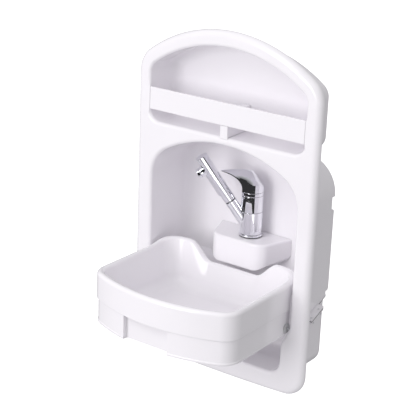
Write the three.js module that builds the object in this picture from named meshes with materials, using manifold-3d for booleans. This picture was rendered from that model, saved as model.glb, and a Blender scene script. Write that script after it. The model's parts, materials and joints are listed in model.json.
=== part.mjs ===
// A built-in handwash sink: an arched white panel that fills a hole in a wall. It holds a shelf recess, a niche
// with a single-lever tap, and a basin that tips up to pour its water into a tub behind the panel.
//
// Millimetres, +Z up, -Y towards the user. Everything is laid out in the panel's own frame, where Y = 0 is the
// panel's front plane and Z = 0 its lowest point. The last lines move that frame, so that the part's origin is on
// the back of the flange, in the middle of its bottom land.
import * as THREE from "three";
import { mergeVertices } from "three/addons/utils/BufferGeometryUtils.js";
import Module from "manifold-3d";

const wasm = await Module();
wasm.setup();

// ---- Driving dimensions ----

const GAP = 0.3; // clearance between neighbouring pieces
const WALL = 3.5; // thickness of the panel's moulded walls
const SKIN = 3; // thickness of the tub and basin shells

const PANEL = {
  halfWidth: 194.5,
  peak: 649.5,
  archRadius: 290,
  shoulder: 50,
  bottom: 0,
  corner: 44,
  bow: 3,
  depth: 12,
  face: 4,
  land: 12,
};

const SHELF = {
  halfWidth: 166.4,
  peak: 621,
  archRadius: 265,
  shoulder: 25,
  bottom: 459.5,
  corner: 20,
  depth: 72.5,
  backRound: 12,
};

const BAR = { low: 481.7, high: 523.2, thickness: 5, tab: 12, tabLow: 487, tabHigh: 518 };
const DIVIDER = { halfWidth: 7.5, top: 507 };

const NICHE = {
  halfWidth: 159.2,
  peak: 445,
  archRadius: 262,
  shoulder: 64,
  depth: 132,
  backRound: 17,
  waist: 138, // height where the opening starts to narrow
  lowHalfWidth: 142, // half width of the lower recess, below the narrowing
  lowTop: 96,
  bottom: 40,
  corner: 20,
  recessDepth: 52, // where the lower recess opens into the tub
  throatDepth: 115, // depth of the throat behind the basin's rear wall
  throatTop: 166,
  backFoot: 180, // height where the back wall reaches full depth
  outerRound: 10, // rounding of the wall's rear edges
  grooves: [
    [163, 172],
    [327, 355],
  ],
  grooveReach: 18, // how far a groove cuts into the rear corners
};

const LEDGE = {
  centre: -5,
  front: 62,
  flat: 28, // half width of the flat middle of its bowed front
  bend: 19, // depth of the front corners' sweep
  halfWidth: 62,
  wallHalfWidth: 80,
  top: 248,
  bottom: 195.5,
  corner: 28,
  edge: 2.5,
  skin: 4,
};

const TUB = {
  halfWidth: 163,
  flange: 176,
  flangeStop: 28, // distance from the flange's end to the tub's back
  front: 48,
  back: 119,
  backRound: 13,
  bottom: 30,
  corner: 25,
  seamHeight: 139, // height of the sloping joint at SEAM_Y
  seamY: 60,
  seamSlope: 0.39,
  seal: 2, // thickness of the joint's gasket, with its clearances
};

const BASIN = {
  halfWidth: 154,
  front: -207,
  frontRadius: 320,
  corner: 38,
  rimTop: 220,
  earTop: 228,
  seam: 169.5,
  bottom: 122,
  sideBack: 4,
  back: 58,
  backCorner: 46,
  rim: 14,
  rearWall: 12,
  floor: 138,
  lip: 195,
  lipHalfWidth: 53,
  lipCorner: 30,
  waist: 190, // below this height the rear part is only as wide as the inner bowl
};
const GRIP = { left: -58, right: 40, depth: 15 };

const PIVOT = { y: 8, z: 133, lug: 12, lugIn: 118, lugOut: 148.6, pin: 2.6, bush: 6, head: 3.7 };

const TAP = {
  x: 3,
  y: 100,
  foot: 250.1,
  radius: 19.8,
  sleeveRadius: 21.2,
  neck: 17.5,
  shank: 15.8,
  bore: 13.5,
  sleeveLow: 254.4,
  sleeveHigh: 297.3,
  top: 329.2,
  collarHigh: 336.4,
  turned: 52, // degrees that spout and lever are turned to the user's left
};

const SPOUT = {
  angle: 55.7, // degrees above the horizontal
  reach: 20.9, // where the spout's axis leaves the sleeve, from the tap's axis
  height: 287.2,
  joint: 35, // distance along the spout to the handset's joint
  length: 137,
  rootRadius: 10.6,
  tipRadius: 11.7,
  plug: 8.4,
  waterway: 5,
  aeratorBack: 26,
  aeratorRadius: 8,
};

const LEVER = { hubRadius: 20, low: 336.8, top: 377.8, tip: 60, tipHeight: 374.5, blade: 1 };

const BAR_SCREW = { y: 11, z: 502, radius: 2 };
const SUMP_SCREWS = [
  [-1, 58],
  [-1, 82],
  [1, 58],
  [1, 82],
];
const SUMP_SCREW_RADIUS = 1.7;
const DRAIN = { x: 0, z: 58, radius: 9, flange: 14, bend: 18 };
const COVER_SCREWS = [
  [-80, -45],
  [80, -45],
  [-62, -120],
  [62, -120],
];
const TAIL_END = 118;

// ---- Materials ----

function material(color, roughness, metalness) {
  return new THREE.MeshStandardMaterial({ color, roughness, metalness });
}
const WHITE = material(0xf1eff6, 0.22, 0);
const CHROME = material(0xd2d4d8, 0.08, 1);
const STEEL = material(0xa9adb1, 0.35, 1);
const BLACK = material(0x1c1c1e, 0.8, 0);
const GREY = material(0x8b8f94, 0.5, 0);
const BRASS = material(0xb99a4e, 0.35, 1);
const BRAID = material(0xb6babf, 0.4, 0.8);
const POLYMER = material(0xd9d6c9, 0.5, 0);

// ---- Solids ----

// A closed three.js geometry as a solid.
function solid(geometry) {
  const bare = geometry.clone();
  bare.deleteAttribute("normal");
  bare.deleteAttribute("uv");
  const merged = mergeVertices(bare, 1e-4);
  const mesh = new wasm.Mesh({
    numProp: 3,
    vertProperties: new Float32Array(merged.attributes.position.array),
    triVerts: new Uint32Array(merged.index.array),
  });
  return new wasm.Manifold(mesh);
}

function geometryOf(body) {
  const mesh = body.getMesh();
  const geometry = new THREE.BufferGeometry();
  geometry.setAttribute("position", new THREE.BufferAttribute(mesh.vertProperties, 3));
  geometry.setIndex(new THREE.BufferAttribute(mesh.triVerts, 1));
  return geometry;
}

function extrude(shape, depth, round, curveSegments) {
  return new THREE.ExtrudeGeometry(shape, {
    depth: depth - 2 * round,
    steps: 1,
    curveSegments,
    bevelEnabled: round > 0,
    bevelThickness: round,
    bevelSize: round,
    bevelOffset: -round,
    bevelSegments: 2,
  }).translate(0, 0, round);
}

// An outline seen from the front (X, Z), from depth y0 to y1. Both ends are rounded by round.
function frontal(shape, y0, y1, round = 0, segments = 8) {
  return solid(extrude(shape, y1 - y0, round, segments).rotateX(Math.PI / 2).translate(0, y1, 0));
}

// An outline seen from above (X, Y), from height z0 to z1.
function level(shape, z0, z1, round = 0, segments = 8) {
  return solid(extrude(shape, z1 - z0, round, segments).translate(0, 0, z0));
}

// An outline seen from the side (Y, Z), from x0 to x1.
function sideways(shape, x0, x1, round = 0, segments = 8) {
  const turn = new THREE.Matrix4().makeBasis(
    new THREE.Vector3(0, 1, 0),
    new THREE.Vector3(0, 0, 1),
    new THREE.Vector3(1, 0, 0),
  );
  return solid(extrude(shape, x1 - x0, round, segments).applyMatrix4(turn).translate(x0, 0, 0));
}

function block(x0, x1, y0, y1, z0, z1) {
  const box = new THREE.BoxGeometry(x1 - x0, y1 - y0, z1 - z0);
  return solid(box.translate((x0 + x1) / 2, (y0 + y1) / 2, (z0 + z1) / 2));
}

// A cylinder between two points.
function rod(from, to, radius, endRadius = radius, segments = 20) {
  const a = new THREE.Vector3(...from);
  const b = new THREE.Vector3(...to);
  const axis = b.clone().sub(a);
  const turn = new THREE.Quaternion().setFromUnitVectors(new THREE.Vector3(0, 1, 0), axis.clone().normalize());
  const cylinder = new THREE.CylinderGeometry(endRadius, radius, axis.length(), segments);
  const middle = a.add(b).multiplyScalar(0.5);
  return solid(cylinder.applyQuaternion(turn).translate(middle.x, middle.y, middle.z));
}

// A ring or stepped turning about the vertical line through (x, y), from a closed [radius, height] profile.
function turned(profile, x, y, segments = 24) {
  const points = profile.map(([radius, height]) => new THREE.Vector2(radius, height));
  points.push(points[0].clone());
  const lathe = new THREE.LatheGeometry(points, segments);
  return solid(lathe.rotateX(Math.PI / 2).translate(x, y, 0));
}

function ring(x, y, z0, z1, outer, inner, segments = 24) {
  const profile = [
    [inner, z0],
    [outer, z0],
    [outer, z1],
    [inner, z1],
  ];
  return turned(profile, x, y, segments);
}

function polygon(points) {
  return new THREE.Shape(points.map(([u, v]) => new THREE.Vector2(u, v)));
}

// A closed outline from its right half, given from the bottom middle to the top middle.
function mirrored(points) {
  const half = points.filter((point, i) => i === 0 || point.distanceTo(points[i - 1]) > 0.01);
  const left = half
    .slice(1, -1)
    .reverse()
    .map((point) => new THREE.Vector2(-point.x, point.y));
  return new THREE.Shape([...half, ...left]);
}

// ---- Outlines ----

// The right half of an arch: a side, a rounded shoulder, and the big arc up to the peak.
function archHalf(path, size, grow) {
  const side = size.halfWidth + grow;
  const shoulder = size.shoulder + grow;
  const big = size.archRadius + grow;
  const centre = size.peak - size.archRadius;
  const x = side - shoulder;
  const z = centre + Math.sqrt((big - shoulder) ** 2 - x ** 2);
  const turn = Math.atan2(z - centre, x);
  path.lineTo(side, z);
  path.absarc(x, z, shoulder, 0, turn, false);
  path.absarc(0, centre, big, turn, Math.PI / 2, false);
}

function panelOutline(grow) {
  const side = PANEL.halfWidth + grow;
  const corner = PANEL.corner + grow;
  const low = PANEL.bottom - grow;
  const path = new THREE.Path();
  path.moveTo(0, low);
  path.lineTo(side / 2, low + PANEL.bow / 4);
  path.lineTo(side - corner, low + PANEL.bow);
  path.absarc(side - corner, low + PANEL.bow + corner, corner, -Math.PI / 2, 0, false);
  archHalf(path, PANEL, grow);
  return mirrored(path.getPoints(6));
}

function shelfOutline(grow) {
  const side = SHELF.halfWidth + grow;
  const corner = SHELF.corner + grow;
  const low = SHELF.bottom - grow;
  const path = new THREE.Path();
  path.moveTo(0, low);
  path.lineTo(side - corner, low);
  path.absarc(side - corner, low + corner, corner, -Math.PI / 2, 0, false);
  archHalf(path, SHELF, grow);
  return mirrored(path.getPoints(6));
}

function nicheOutline(grow) {
  const side = NICHE.lowHalfWidth + grow;
  const corner = NICHE.corner + grow;
  const low = NICHE.bottom - grow;
  const wide = NICHE.halfWidth + grow;
  const path = new THREE.Path();
  path.moveTo(0, low);
  path.lineTo(side - corner - 4, low);
  path.absarc(side - corner - 4, low + corner, corner, -Math.PI / 2, 0, false);
  path.lineTo(side, NICHE.lowTop);
  path.bezierCurveTo(side + 2, 112, wide - 6, 118, wide, NICHE.waist);
  archHalf(path, NICHE, grow);
  return mirrored(path.getPoints(7));
}

// The niche seen from the side. Its lower recess is open at the back, where it pours into the tub, and its walls end
// along the sloping joint. Reach carries the hollow on past those open edges.
function nicheSide(grow, reach) {
  const front = -30;
  const top = NICHE.peak + 40;
  const open = NICHE.recessDepth + reach;
  const throat = NICHE.throatDepth + grow;
  const back = NICHE.depth + grow;
  return polygon([
    [front, NICHE.bottom - grow],
    [open, NICHE.bottom - grow],
    [open, seamHeight(NICHE.recessDepth) + TUB.seal - reach],
    [throat, seamHeight(throat) + TUB.seal - reach],
    [throat, NICHE.throatTop],
    [back, NICHE.backFoot],
    [back, top],
    [front, top],
  ]);
}

// The basin seen from above. The front is a shallow arc, and the rear corners are round.
function basinOutline(inset, back = BASIN.back - inset) {
  const side = BASIN.halfWidth - inset;
  const corner = Math.max(BASIN.corner - inset, 12);
  const rear = Math.max(BASIN.backCorner - inset, 12);
  const big = BASIN.frontRadius - inset;
  const centre = BASIN.front + BASIN.frontRadius;
  const x = side - corner;
  const y = centre - Math.sqrt((big - corner) ** 2 - x ** 2);
  const turn = Math.atan2(y - centre, x);
  const path = new THREE.Path();
  path.moveTo(0, centre - big);
  path.absarc(0, centre, big, -Math.PI / 2, turn, false);
  path.absarc(x, y, corner, turn, 0, false);
  path.lineTo(side, back - rear);
  path.absarc(side - rear, back - rear, rear, 0, Math.PI / 2, false);
  path.lineTo(0, back);
  return mirrored(path.getPoints(7));
}

function ledgeOutline(inset) {
  const side = LEDGE.halfWidth + 1 - inset;
  const corner = LEDGE.corner - inset;
  const low = LEDGE.bottom + inset;
  const high = LEDGE.top + 1;
  const path = new THREE.Path();
  path.moveTo(0, low);
  path.lineTo(side - corner, low);
  path.absarc(side - corner, low + corner, corner, -Math.PI / 2, 0, false);
  path.lineTo(side, high);
  path.lineTo(0, high);
  return mirrored(path.getPoints(8));
}

// ---- Panel ----

function inFront(depth) {
  return block(-300, 300, depth - 200, depth, -50, 800);
}

// The tap ledge seen from above. Its front is bowed, and its sides spread towards the wall.
function ledgePlan(inset, back) {
  const side = LEDGE.halfWidth - inset;
  const wide = LEDGE.wallHalfWidth - inset;
  const front = LEDGE.front + inset;
  const bend = front + LEDGE.bend;
  const path = new THREE.Path();
  path.moveTo(0, front);
  path.lineTo(LEDGE.flat, front);
  path.bezierCurveTo(LEDGE.flat + 16, front, side - 5, front + 5, side, bend);
  path.bezierCurveTo(side + 5, bend + 14, wide - 8, NICHE.depth - 22, wide, NICHE.depth);
  path.lineTo(wide, back);
  path.lineTo(0, back);
  return mirrored(path.getPoints(7));
}

// The tap ledge: its plan, cut to a front view whose lower corners are round and spread with the sides.
function ledgeSolid(inset, back, round) {
  const flare = LEDGE.wallHalfWidth / LEDGE.halfWidth - 1;
  const geometry = extrude(ledgeOutline(inset), back + 2 - LEDGE.front, 0).rotateX(Math.PI / 2).translate(0, back + 1, 0);
  const position = geometry.attributes.position;
  for (let i = 0; i < position.count; i += 1) {
    const share = (position.getY(i) - LEDGE.front) / (NICHE.depth - LEDGE.front);
    position.setX(i, position.getX(i) * (1 + flare * Math.max(share, 0)));
  }
  const plan = level(ledgePlan(inset, back), LEDGE.bottom + inset, LEDGE.top - inset, round, 4);
  return plan.intersect(solid(geometry)).translate([LEDGE.centre, 0, 0]);
}

function seamHeight(y) {
  return TUB.seamHeight + TUB.seamSlope * (y - TUB.seamY);
}

// A slab that follows the sloping joint between panel and tub, from low to high above it. Its side flanges stop
// short of the back.
function seamSlab(low, high) {
  const strip = (from, to) =>
    polygon([
      [from, seamHeight(from) + low],
      [to, seamHeight(to) + low],
      [to, seamHeight(to) + high],
      [from, seamHeight(from) + high],
    ]);
  const front = NICHE.recessDepth;
  const middle = sideways(strip(front, TUB.back), -TUB.halfWidth, TUB.halfWidth);
  return middle.add(sideways(strip(front, TUB.back - TUB.flangeStop), -TUB.flange, TUB.flange));
}

function nicheSolid(grow, round, reach = 0) {
  const tall = frontal(nicheOutline(grow), -30, NICHE.depth + grow, round, 8);
  return tall.intersect(sideways(nicheSide(grow, reach), -250, 250));
}

function nicheHollow() {
  return nicheSolid(0, NICHE.backRound, 10);
}

const SUMP_SCREW_X = 171.8;

function seamRod(side, y, low, high, radius) {
  const lean = Math.atan(TUB.seamSlope);
  const up = [0, -Math.sin(lean), Math.cos(lean)];
  const foot = [side * SUMP_SCREW_X, y, seamHeight(y)];
  const at = (distance) => foot.map((value, i) => value + up[i] * distance);
  return rod(at(low), at(high), radius, radius, 12);
}

function frontPanel() {
  const rolled = frontal(panelOutline(0), 0, 4 * PANEL.depth, PANEL.depth, 8);
  let panel = rolled.subtract(block(-300, 300, PANEL.depth, 100, -50, 800));
  panel = panel.subtract(frontal(panelOutline(-PANEL.land), PANEL.face, 40));

  const shelf = frontal(shelfOutline(WALL), -30, SHELF.depth + WALL, SHELF.backRound).subtract(inFront(1));
  const niche = nicheSolid(WALL, NICHE.outerRound).subtract(inFront(1));
  panel = panel.add(shelf).add(niche);
  panel = panel.add(seamSlab(TUB.seal, TUB.seal + SKIN));
  panel = panel.subtract(frontal(shelfOutline(0), -30, SHELF.depth, SHELF.backRound));
  panel = panel.subtract(nicheHollow());

  // Grooves across the rear corners of the niche, above and below the main box.
  for (const [low, high] of NICHE.grooves) {
    for (const side of [-1, 1]) {
      const x = side * (NICHE.halfWidth + WALL);
      const y = NICHE.depth + WALL;
      const corner = polygon([
        [x + side, y + 1],
        [x - side * NICHE.grooveReach, y + 1],
        [x + side, y - NICHE.grooveReach],
      ]);
      panel = panel.subtract(level(corner, low, high));
    }
  }

  const divider = block(-DIVIDER.halfWidth, DIVIDER.halfWidth, 1, SHELF.depth + 1, SHELF.bottom - 1, DIVIDER.top);
  const barSeat = block(-20, 20, -1, BAR.thickness + GAP, BAR.low - GAP, 600);
  panel = panel.add(divider.subtract(barSeat));
  panel = panel.add(block(-DIVIDER.halfWidth, DIVIDER.halfWidth, 0, 3, SHELF.bottom - 1, BAR.low - GAP));

  panel = panel.add(ledgeSolid(0, NICHE.depth + WALL - 0.3, LEDGE.edge));
  panel = panel.subtract(ledgeSolid(LEDGE.skin, NICHE.depth + 30, 0));
  panel = panel.subtract(rod([TAP.x, TAP.y, 230], [TAP.x, TAP.y, 260], TAP.shank + 1.5));

  for (const side of [-1, 1]) {
    const pin = [side * 150, PIVOT.y, PIVOT.z];
    panel = panel.subtract(rod(pin, [side * 180, PIVOT.y, PIVOT.z], PIVOT.pin + GAP));
    const screw = [side * 150, BAR_SCREW.y, BAR_SCREW.z];
    panel = panel.subtract(rod(screw, [side * 180, BAR_SCREW.y, BAR_SCREW.z], BAR_SCREW.radius + GAP, undefined, 12));
  }
  for (const [side, y] of SUMP_SCREWS) {
    panel = panel.subtract(seamRod(side, y, 0, 12, SUMP_SCREW_RADIUS + GAP));
  }
  return panel;
}

function shelfBar() {
  const side = SHELF.halfWidth - GAP - 0.1;
  let bar = block(-side, side, 0, BAR.thickness, BAR.low, BAR.high);
  for (const end of [-1, 1]) {
    const outer = end * side;
    const inner = end * (side - 5);
    const x0 = Math.min(outer, inner);
    const x1 = Math.max(outer, inner);
    bar = bar.add(block(x0, x1, BAR.thickness - 1, BAR.thickness + BAR.tab, BAR.tabLow, BAR.tabHigh));
    const from = [end * 150, BAR_SCREW.y, BAR_SCREW.z];
    bar = bar.subtract(rod(from, [end * 180, BAR_SCREW.y, BAR_SCREW.z], BAR_SCREW.radius + GAP, undefined, 12));
  }
  return bar;
}

function barScrew(side) {
  const wall = SHELF.halfWidth + WALL;
  const y = BAR_SCREW.y;
  const z = BAR_SCREW.z;
  const shank = rod([side * (wall - 12), y, z], [side * (wall + 1), y, z], BAR_SCREW.radius, undefined, 12);
  return shank.add(rod([side * (wall + GAP), y, z], [side * (wall + 2.8), y, z], 4, 3, 12));
}

// ---- Tub behind the panel ----

function tubOutline(inset) {
  const side = TUB.halfWidth - inset;
  const corner = TUB.corner - inset;
  const low = TUB.bottom + inset;
  const path = new THREE.Path();
  path.moveTo(0, low);
  path.lineTo(side - corner, low);
  path.absarc(side - corner, low + corner, corner, -Math.PI / 2, 0, false);
  path.lineTo(side, 200);
  path.lineTo(0, 200);
  return mirrored(path.getPoints(6));
}

function tubSide(inset, top) {
  const front = TUB.front + inset;
  const back = TUB.back - inset;
  const low = TUB.bottom + inset;
  const round = 8 - inset;
  return polygon([
    [front, low],
    [back - round, low],
    [back - round * 0.3, low + round * 0.3],
    [back, low + round],
    [back, seamHeight(back) + top],
    [front, seamHeight(front) + top],
  ]);
}

function sumpBox() {
  const outer = frontal(tubOutline(0), TUB.front - 30, TUB.back, TUB.backRound, 6);
  const inner = frontal(tubOutline(SKIN), 0, TUB.back - SKIN, TUB.backRound - SKIN, 6);
  let tub = outer.intersect(sideways(tubSide(0, 0), -200, 200)).add(seamSlab(-SKIN, 0));
  tub = tub.subtract(inner.intersect(sideways(tubSide(SKIN, 20), -200, 200)));
  tub = tub.subtract(frontal(nicheOutline(WALL + GAP), -30, TUB.front + SKIN + 1));
  for (const [side, y] of SUMP_SCREWS) {
    tub = tub.subtract(seamRod(side, y, -8, 4, SUMP_SCREW_RADIUS + GAP));
  }
  return tub.subtract(rod([DRAIN.x, 80, DRAIN.z], [DRAIN.x, 140, DRAIN.z], DRAIN.radius + GAP));
}

function sumpGasket() {
  const side = NICHE.halfWidth + 1;
  let gasket = seamSlab(GAP, TUB.seal - GAP).subtract(block(-side, side, 0, TUB.back - SKIN, 60, 200));
  for (const [end, y] of SUMP_SCREWS) {
    gasket = gasket.subtract(seamRod(end, y, -4, 6, SUMP_SCREW_RADIUS + GAP));
  }
  return gasket;
}

function sumpScrew(side, y) {
  return seamRod(side, y, -7, 5.5, SUMP_SCREW_RADIUS).add(seamRod(side, y, -6.2, -3 - GAP, 3.6));
}

function drainElbow() {
  const wallIn = TUB.back - SKIN;
  const start = [DRAIN.x, wallIn - 4.5, DRAIN.z];
  let elbow = rod(start, [DRAIN.x, wallIn - 2, DRAIN.z], DRAIN.flange);
  elbow = elbow.add(rod([DRAIN.x, wallIn - 3, DRAIN.z], [DRAIN.x, TUB.back + 14, DRAIN.z], DRAIN.radius));
  const path = new THREE.CurvePath();
  const y = TUB.back + 12;
  path.add(new THREE.QuadraticBezierCurve3(
    new THREE.Vector3(DRAIN.x, y, DRAIN.z),
    new THREE.Vector3(DRAIN.x, y + DRAIN.bend, DRAIN.z),
    new THREE.Vector3(DRAIN.x, y + DRAIN.bend, DRAIN.z - DRAIN.bend),
  ));
  path.add(new THREE.LineCurve3(
    new THREE.Vector3(DRAIN.x, y + DRAIN.bend, DRAIN.z - DRAIN.bend),
    new THREE.Vector3(DRAIN.x, y + DRAIN.bend, 8),
  ));
  elbow = elbow.add(tube(path, DRAIN.radius - 0.5, 8, 12));
  elbow = elbow.subtract(tube(path, DRAIN.radius - 3, 8, 12));
  elbow = elbow.subtract(rod([DRAIN.x, wallIn - 10, DRAIN.z], [DRAIN.x, y + 1, DRAIN.z], DRAIN.radius - 3.5));
  const end = y + DRAIN.bend;
  return elbow.subtract(rod([DRAIN.x, end, 20], [DRAIN.x, end, 0], DRAIN.radius - 3.5));
}

function tube(path, radius, steps, sides) {
  const circle = new THREE.Shape().absarc(0, 0, radius, 0, 2 * Math.PI, false);
  const points = circle.getPoints(sides / 2).slice(0, -1);
  return solid(new THREE.ExtrudeGeometry(new THREE.Shape(points), { steps, extrudePath: path, bevelEnabled: false }));
}

// A flat washer or seal round a horizontal pipe that runs along Y.
function collar(y0, y1, outer, inner, sides = 20) {
  const disc = rod([DRAIN.x, y0, DRAIN.z], [DRAIN.x, y1, DRAIN.z], outer, outer, sides);
  return disc.subtract(rod([DRAIN.x, y0 - 1, DRAIN.z], [DRAIN.x, y1 + 1, DRAIN.z], inner));
}

// ---- Basin ----

// The bowl's hollow at a given wall offset: its walls lean in towards a flat floor.
function bowlHollow(grow) {
  const top = BASIN.earTop + 12;
  const low = BASIN.floor - grow;
  const inset = BASIN.rim - grow;
  const geometry = extrude(basinOutline(inset, BASIN.back - BASIN.rearWall + grow), top - low, 16, 7);
  geometry.translate(0, 0, low);
  const position = geometry.attributes.position;
  const middle = -70;
  for (let i = 0; i < position.count; i += 1) {
    const drop = (BASIN.rimTop - position.getZ(i)) / (BASIN.rimTop - BASIN.floor);
    const lean = Math.min(Math.max(drop, 0), 1) * 0.13;
    position.setX(i, position.getX(i) * (1 - lean));
    position.setY(i, middle + (position.getY(i) - middle) * (1 - lean));
  }
  return solid(geometry);
}

// Everything above the rim line: low along the front and sides, raised to two ears, with a pouring lip between.
function aboveRim() {
  const reach = 200;
  const profile = polygon([
    [-400, BASIN.rimTop],
    [-10, BASIN.rimTop],
    [15, BASIN.rimTop + 4],
    [40, BASIN.earTop],
    [reach, BASIN.earTop],
    [reach, 400],
    [-400, 400],
  ]);
  const path = new THREE.Path();
  const corner = BASIN.lipCorner;
  path.moveTo(0, BASIN.lip);
  path.lineTo(BASIN.lipHalfWidth, BASIN.lip);
  path.bezierCurveTo(
    BASIN.lipHalfWidth + corner * 0.8,
    BASIN.lip,
    BASIN.lipHalfWidth + corner * 0.4,
    BASIN.earTop,
    BASIN.lipHalfWidth + corner * 1.6,
    BASIN.earTop + 1,
  );
  path.lineTo(BASIN.lipHalfWidth + corner * 1.6, 300);
  path.lineTo(0, 300);
  const notch = frontal(mirrored(path.getPoints(8)), 20, reach);
  return sideways(profile, -reach, reach).add(notch);
}

function basinBowl() {
  const band = level(basinOutline(0), BASIN.seam, BASIN.earTop, 0, 7);
  const bandHollow = level(basinOutline(SKIN), BASIN.seam - 5, BASIN.rimTop - 8, 0, 7);
  const rearCut = block(-200, 200, BASIN.sideBack, 100, 0, BASIN.waist);
  let bowl = band.subtract(bandHollow).add(band.intersect(block(-200, 200, BASIN.sideBack, 100, BASIN.waist, 300)));
  bowl = bowl.subtract(rearCut);
  const deep = bowlHollow(SKIN).subtract(block(-300, 300, -400, 300, BASIN.rimTop - 9, 400));
  bowl = bowl.add(deep);
  for (const side of [-1, 1]) {
    const lugIn = [side * PIVOT.lugIn, PIVOT.y, PIVOT.z];
    bowl = bowl.add(rod(lugIn, [side * PIVOT.lugOut, PIVOT.y, PIVOT.z], PIVOT.lug, PIVOT.lug, 24));
    const x0 = side < 0 ? -PIVOT.lugOut : PIVOT.lugIn;
    const web = block(x0, x0 + PIVOT.lugOut - PIVOT.lugIn, PIVOT.y - 10, PIVOT.y + 10, PIVOT.z, PIVOT.z + 28);
    bowl = bowl.add(web);
  }
  for (const [x, y] of COVER_SCREWS) {
    bowl = bowl.add(rod([x, y, BASIN.bottom + 4 + GAP], [x, y, BASIN.floor - 1], 5, 5, 12));
  }
  bowl = bowl.subtract(bowlHollow(0)).subtract(aboveRim());
  for (const side of [-1, 1]) {
    const from = [side * (PIVOT.lugOut - 18), PIVOT.y, PIVOT.z];
    bowl = bowl.subtract(rod(from, [side * 170, PIVOT.y, PIVOT.z], PIVOT.bush + GAP));
  }
  for (const [x, y] of COVER_SCREWS) {
    bowl = bowl.subtract(rod([x, y, BASIN.bottom], [x, y, BASIN.bottom + 13], 2 + GAP, undefined, 12));
  }
  return bowl;
}

function basinCover() {
  const inset = 2;
  const top = BASIN.seam - GAP;
  const gripBox = (grow) =>
    block(GRIP.left - grow, GRIP.right + grow, BASIN.front - 20, BASIN.front + GRIP.depth + 3 + grow, 0, 300);
  const outer = level(basinOutline(inset), BASIN.bottom, top, 0, 7).subtract(gripBox(0));
  const inner = level(basinOutline(inset + SKIN), BASIN.bottom + 4, 300, 0, 7).subtract(gripBox(SKIN));
  let cover = outer.subtract(inner);
  cover = cover.subtract(block(-300, 300, BASIN.sideBack, 300, 0, 300));
  cover = cover.subtract(block(-149, 149, -6, 300, 0, 300));
  cover = cover.subtract(block(-300, 300, -5, 300, 0, PIVOT.z + 12));
  for (const [x, y] of COVER_SCREWS) {
    cover = cover.subtract(rod([x, y, 100], [x, y, 150], 2 + GAP, undefined, 12));
    cover = cover.subtract(rod([x, y, 100], [x, y, BASIN.bottom + 2.6], 4.6, undefined, 16));
  }
  return cover;
}

function coverScrew(x, y) {
  const head = rod([x, y, BASIN.bottom + GAP], [x, y, BASIN.bottom + 2.4], 4.2, 4.2, 16);
  return head.add(rod([x, y, BASIN.bottom + 2], [x, y, BASIN.bottom + 12], 2, 2, 12));
}

function hingePin(side) {
  const wall = NICHE.halfWidth + WALL;
  const shaft = rod([side * 133, PIVOT.y, PIVOT.z], [side * (wall + 1), PIVOT.y, PIVOT.z], PIVOT.pin);
  return shaft.add(rod([side * (wall + GAP), PIVOT.y, PIVOT.z], [side * (wall + 3.5), PIVOT.y, PIVOT.z], PIVOT.head));
}

function hingeBush(side) {
  const sleeve = rod([side * 131.5, PIVOT.y, PIVOT.z], [side * 149.5, PIVOT.y, PIVOT.z], PIVOT.bush);
  const collarEnd = [side * 151.5, PIVOT.y, PIVOT.z];
  const flange = rod([side * 149, PIVOT.y, PIVOT.z], collarEnd, PIVOT.bush + 3);
  return sleeve.add(flange).subtract(rod([side * 120, PIVOT.y, PIVOT.z], [side * 160, PIVOT.y, PIVOT.z], PIVOT.pin + GAP));
}

// ---- Tap ----

// Unit vector and places in the upright plane that spout and lever lie in. Out is measured from the tap's axis.
const BEARING = THREE.MathUtils.degToRad(TAP.turned);
function tapPoint(out, height, across = 0) {
  const x = TAP.x - Math.sin(BEARING) * out + Math.cos(BEARING) * across;
  const y = TAP.y - Math.cos(BEARING) * out - Math.sin(BEARING) * across;
  return [x, y, height];
}

const SPOUT_ANGLE = THREE.MathUtils.degToRad(SPOUT.angle);
// A place beside the spout's axis: along it from where it leaves the sleeve, and below it.
function spoutPoint(along, below = 0) {
  const out = SPOUT.reach + along * Math.cos(SPOUT_ANGLE) + below * Math.sin(SPOUT_ANGLE);
  const height = SPOUT.height + along * Math.sin(SPOUT_ANGLE) - below * Math.cos(SPOUT_ANGLE);
  return tapPoint(out, height);
}

function tapBody() {
  const profile = [
    [0, 262],
    [TAP.bore, 262],
    [TAP.bore, 226],
    [TAP.shank, 226],
    [TAP.shank, TAP.foot],
    [22.5, TAP.foot],
    [22.5, 254],
    [TAP.neck, 254],
    [TAP.neck, TAP.sleeveHigh + 0.4],
    [TAP.radius, TAP.sleeveHigh + 0.4],
    [TAP.radius, TAP.top],
    [14.5, TAP.top],
    [14.5, 297],
    [0, 297],
  ];
  const body = turned(profile, TAP.x, TAP.y, 28);
  return body.subtract(rod([TAP.x, TAP.y, 255], [TAP.x, TAP.y, 305], 5, 5, 12));
}

function spoutSleeve() {
  let spout = ring(TAP.x, TAP.y, TAP.sleeveLow, TAP.sleeveHigh, TAP.sleeveRadius, TAP.neck + GAP, 28);
  spout = spout.add(rod(spoutPoint(-18), spoutPoint(SPOUT.joint), SPOUT.rootRadius, SPOUT.rootRadius, 24));
  const bore = [TAP.x, TAP.y];
  spout = spout.subtract(rod([...bore, 230], [...bore, 330], TAP.neck + GAP, TAP.neck + GAP, 28));
  spout = spout.subtract(rod([...bore, TAP.sleeveHigh], [...bore, 340], TAP.radius + GAP, TAP.radius + GAP, 28));
  spout = spout.subtract(block(-60, 60, 0, 160, 200, TAP.sleeveLow));
  return spout.subtract(rod(spoutPoint(-24), spoutPoint(SPOUT.joint + 2), SPOUT.plug + GAP, SPOUT.plug + GAP, 20));
}

function spoutRing() {
  const disc = rod(spoutPoint(SPOUT.joint + GAP), spoutPoint(SPOUT.joint + 1.8), SPOUT.rootRadius - 0.4);
  return disc.subtract(rod(spoutPoint(SPOUT.joint - 2), spoutPoint(SPOUT.joint + 5), SPOUT.plug + GAP));
}

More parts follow.
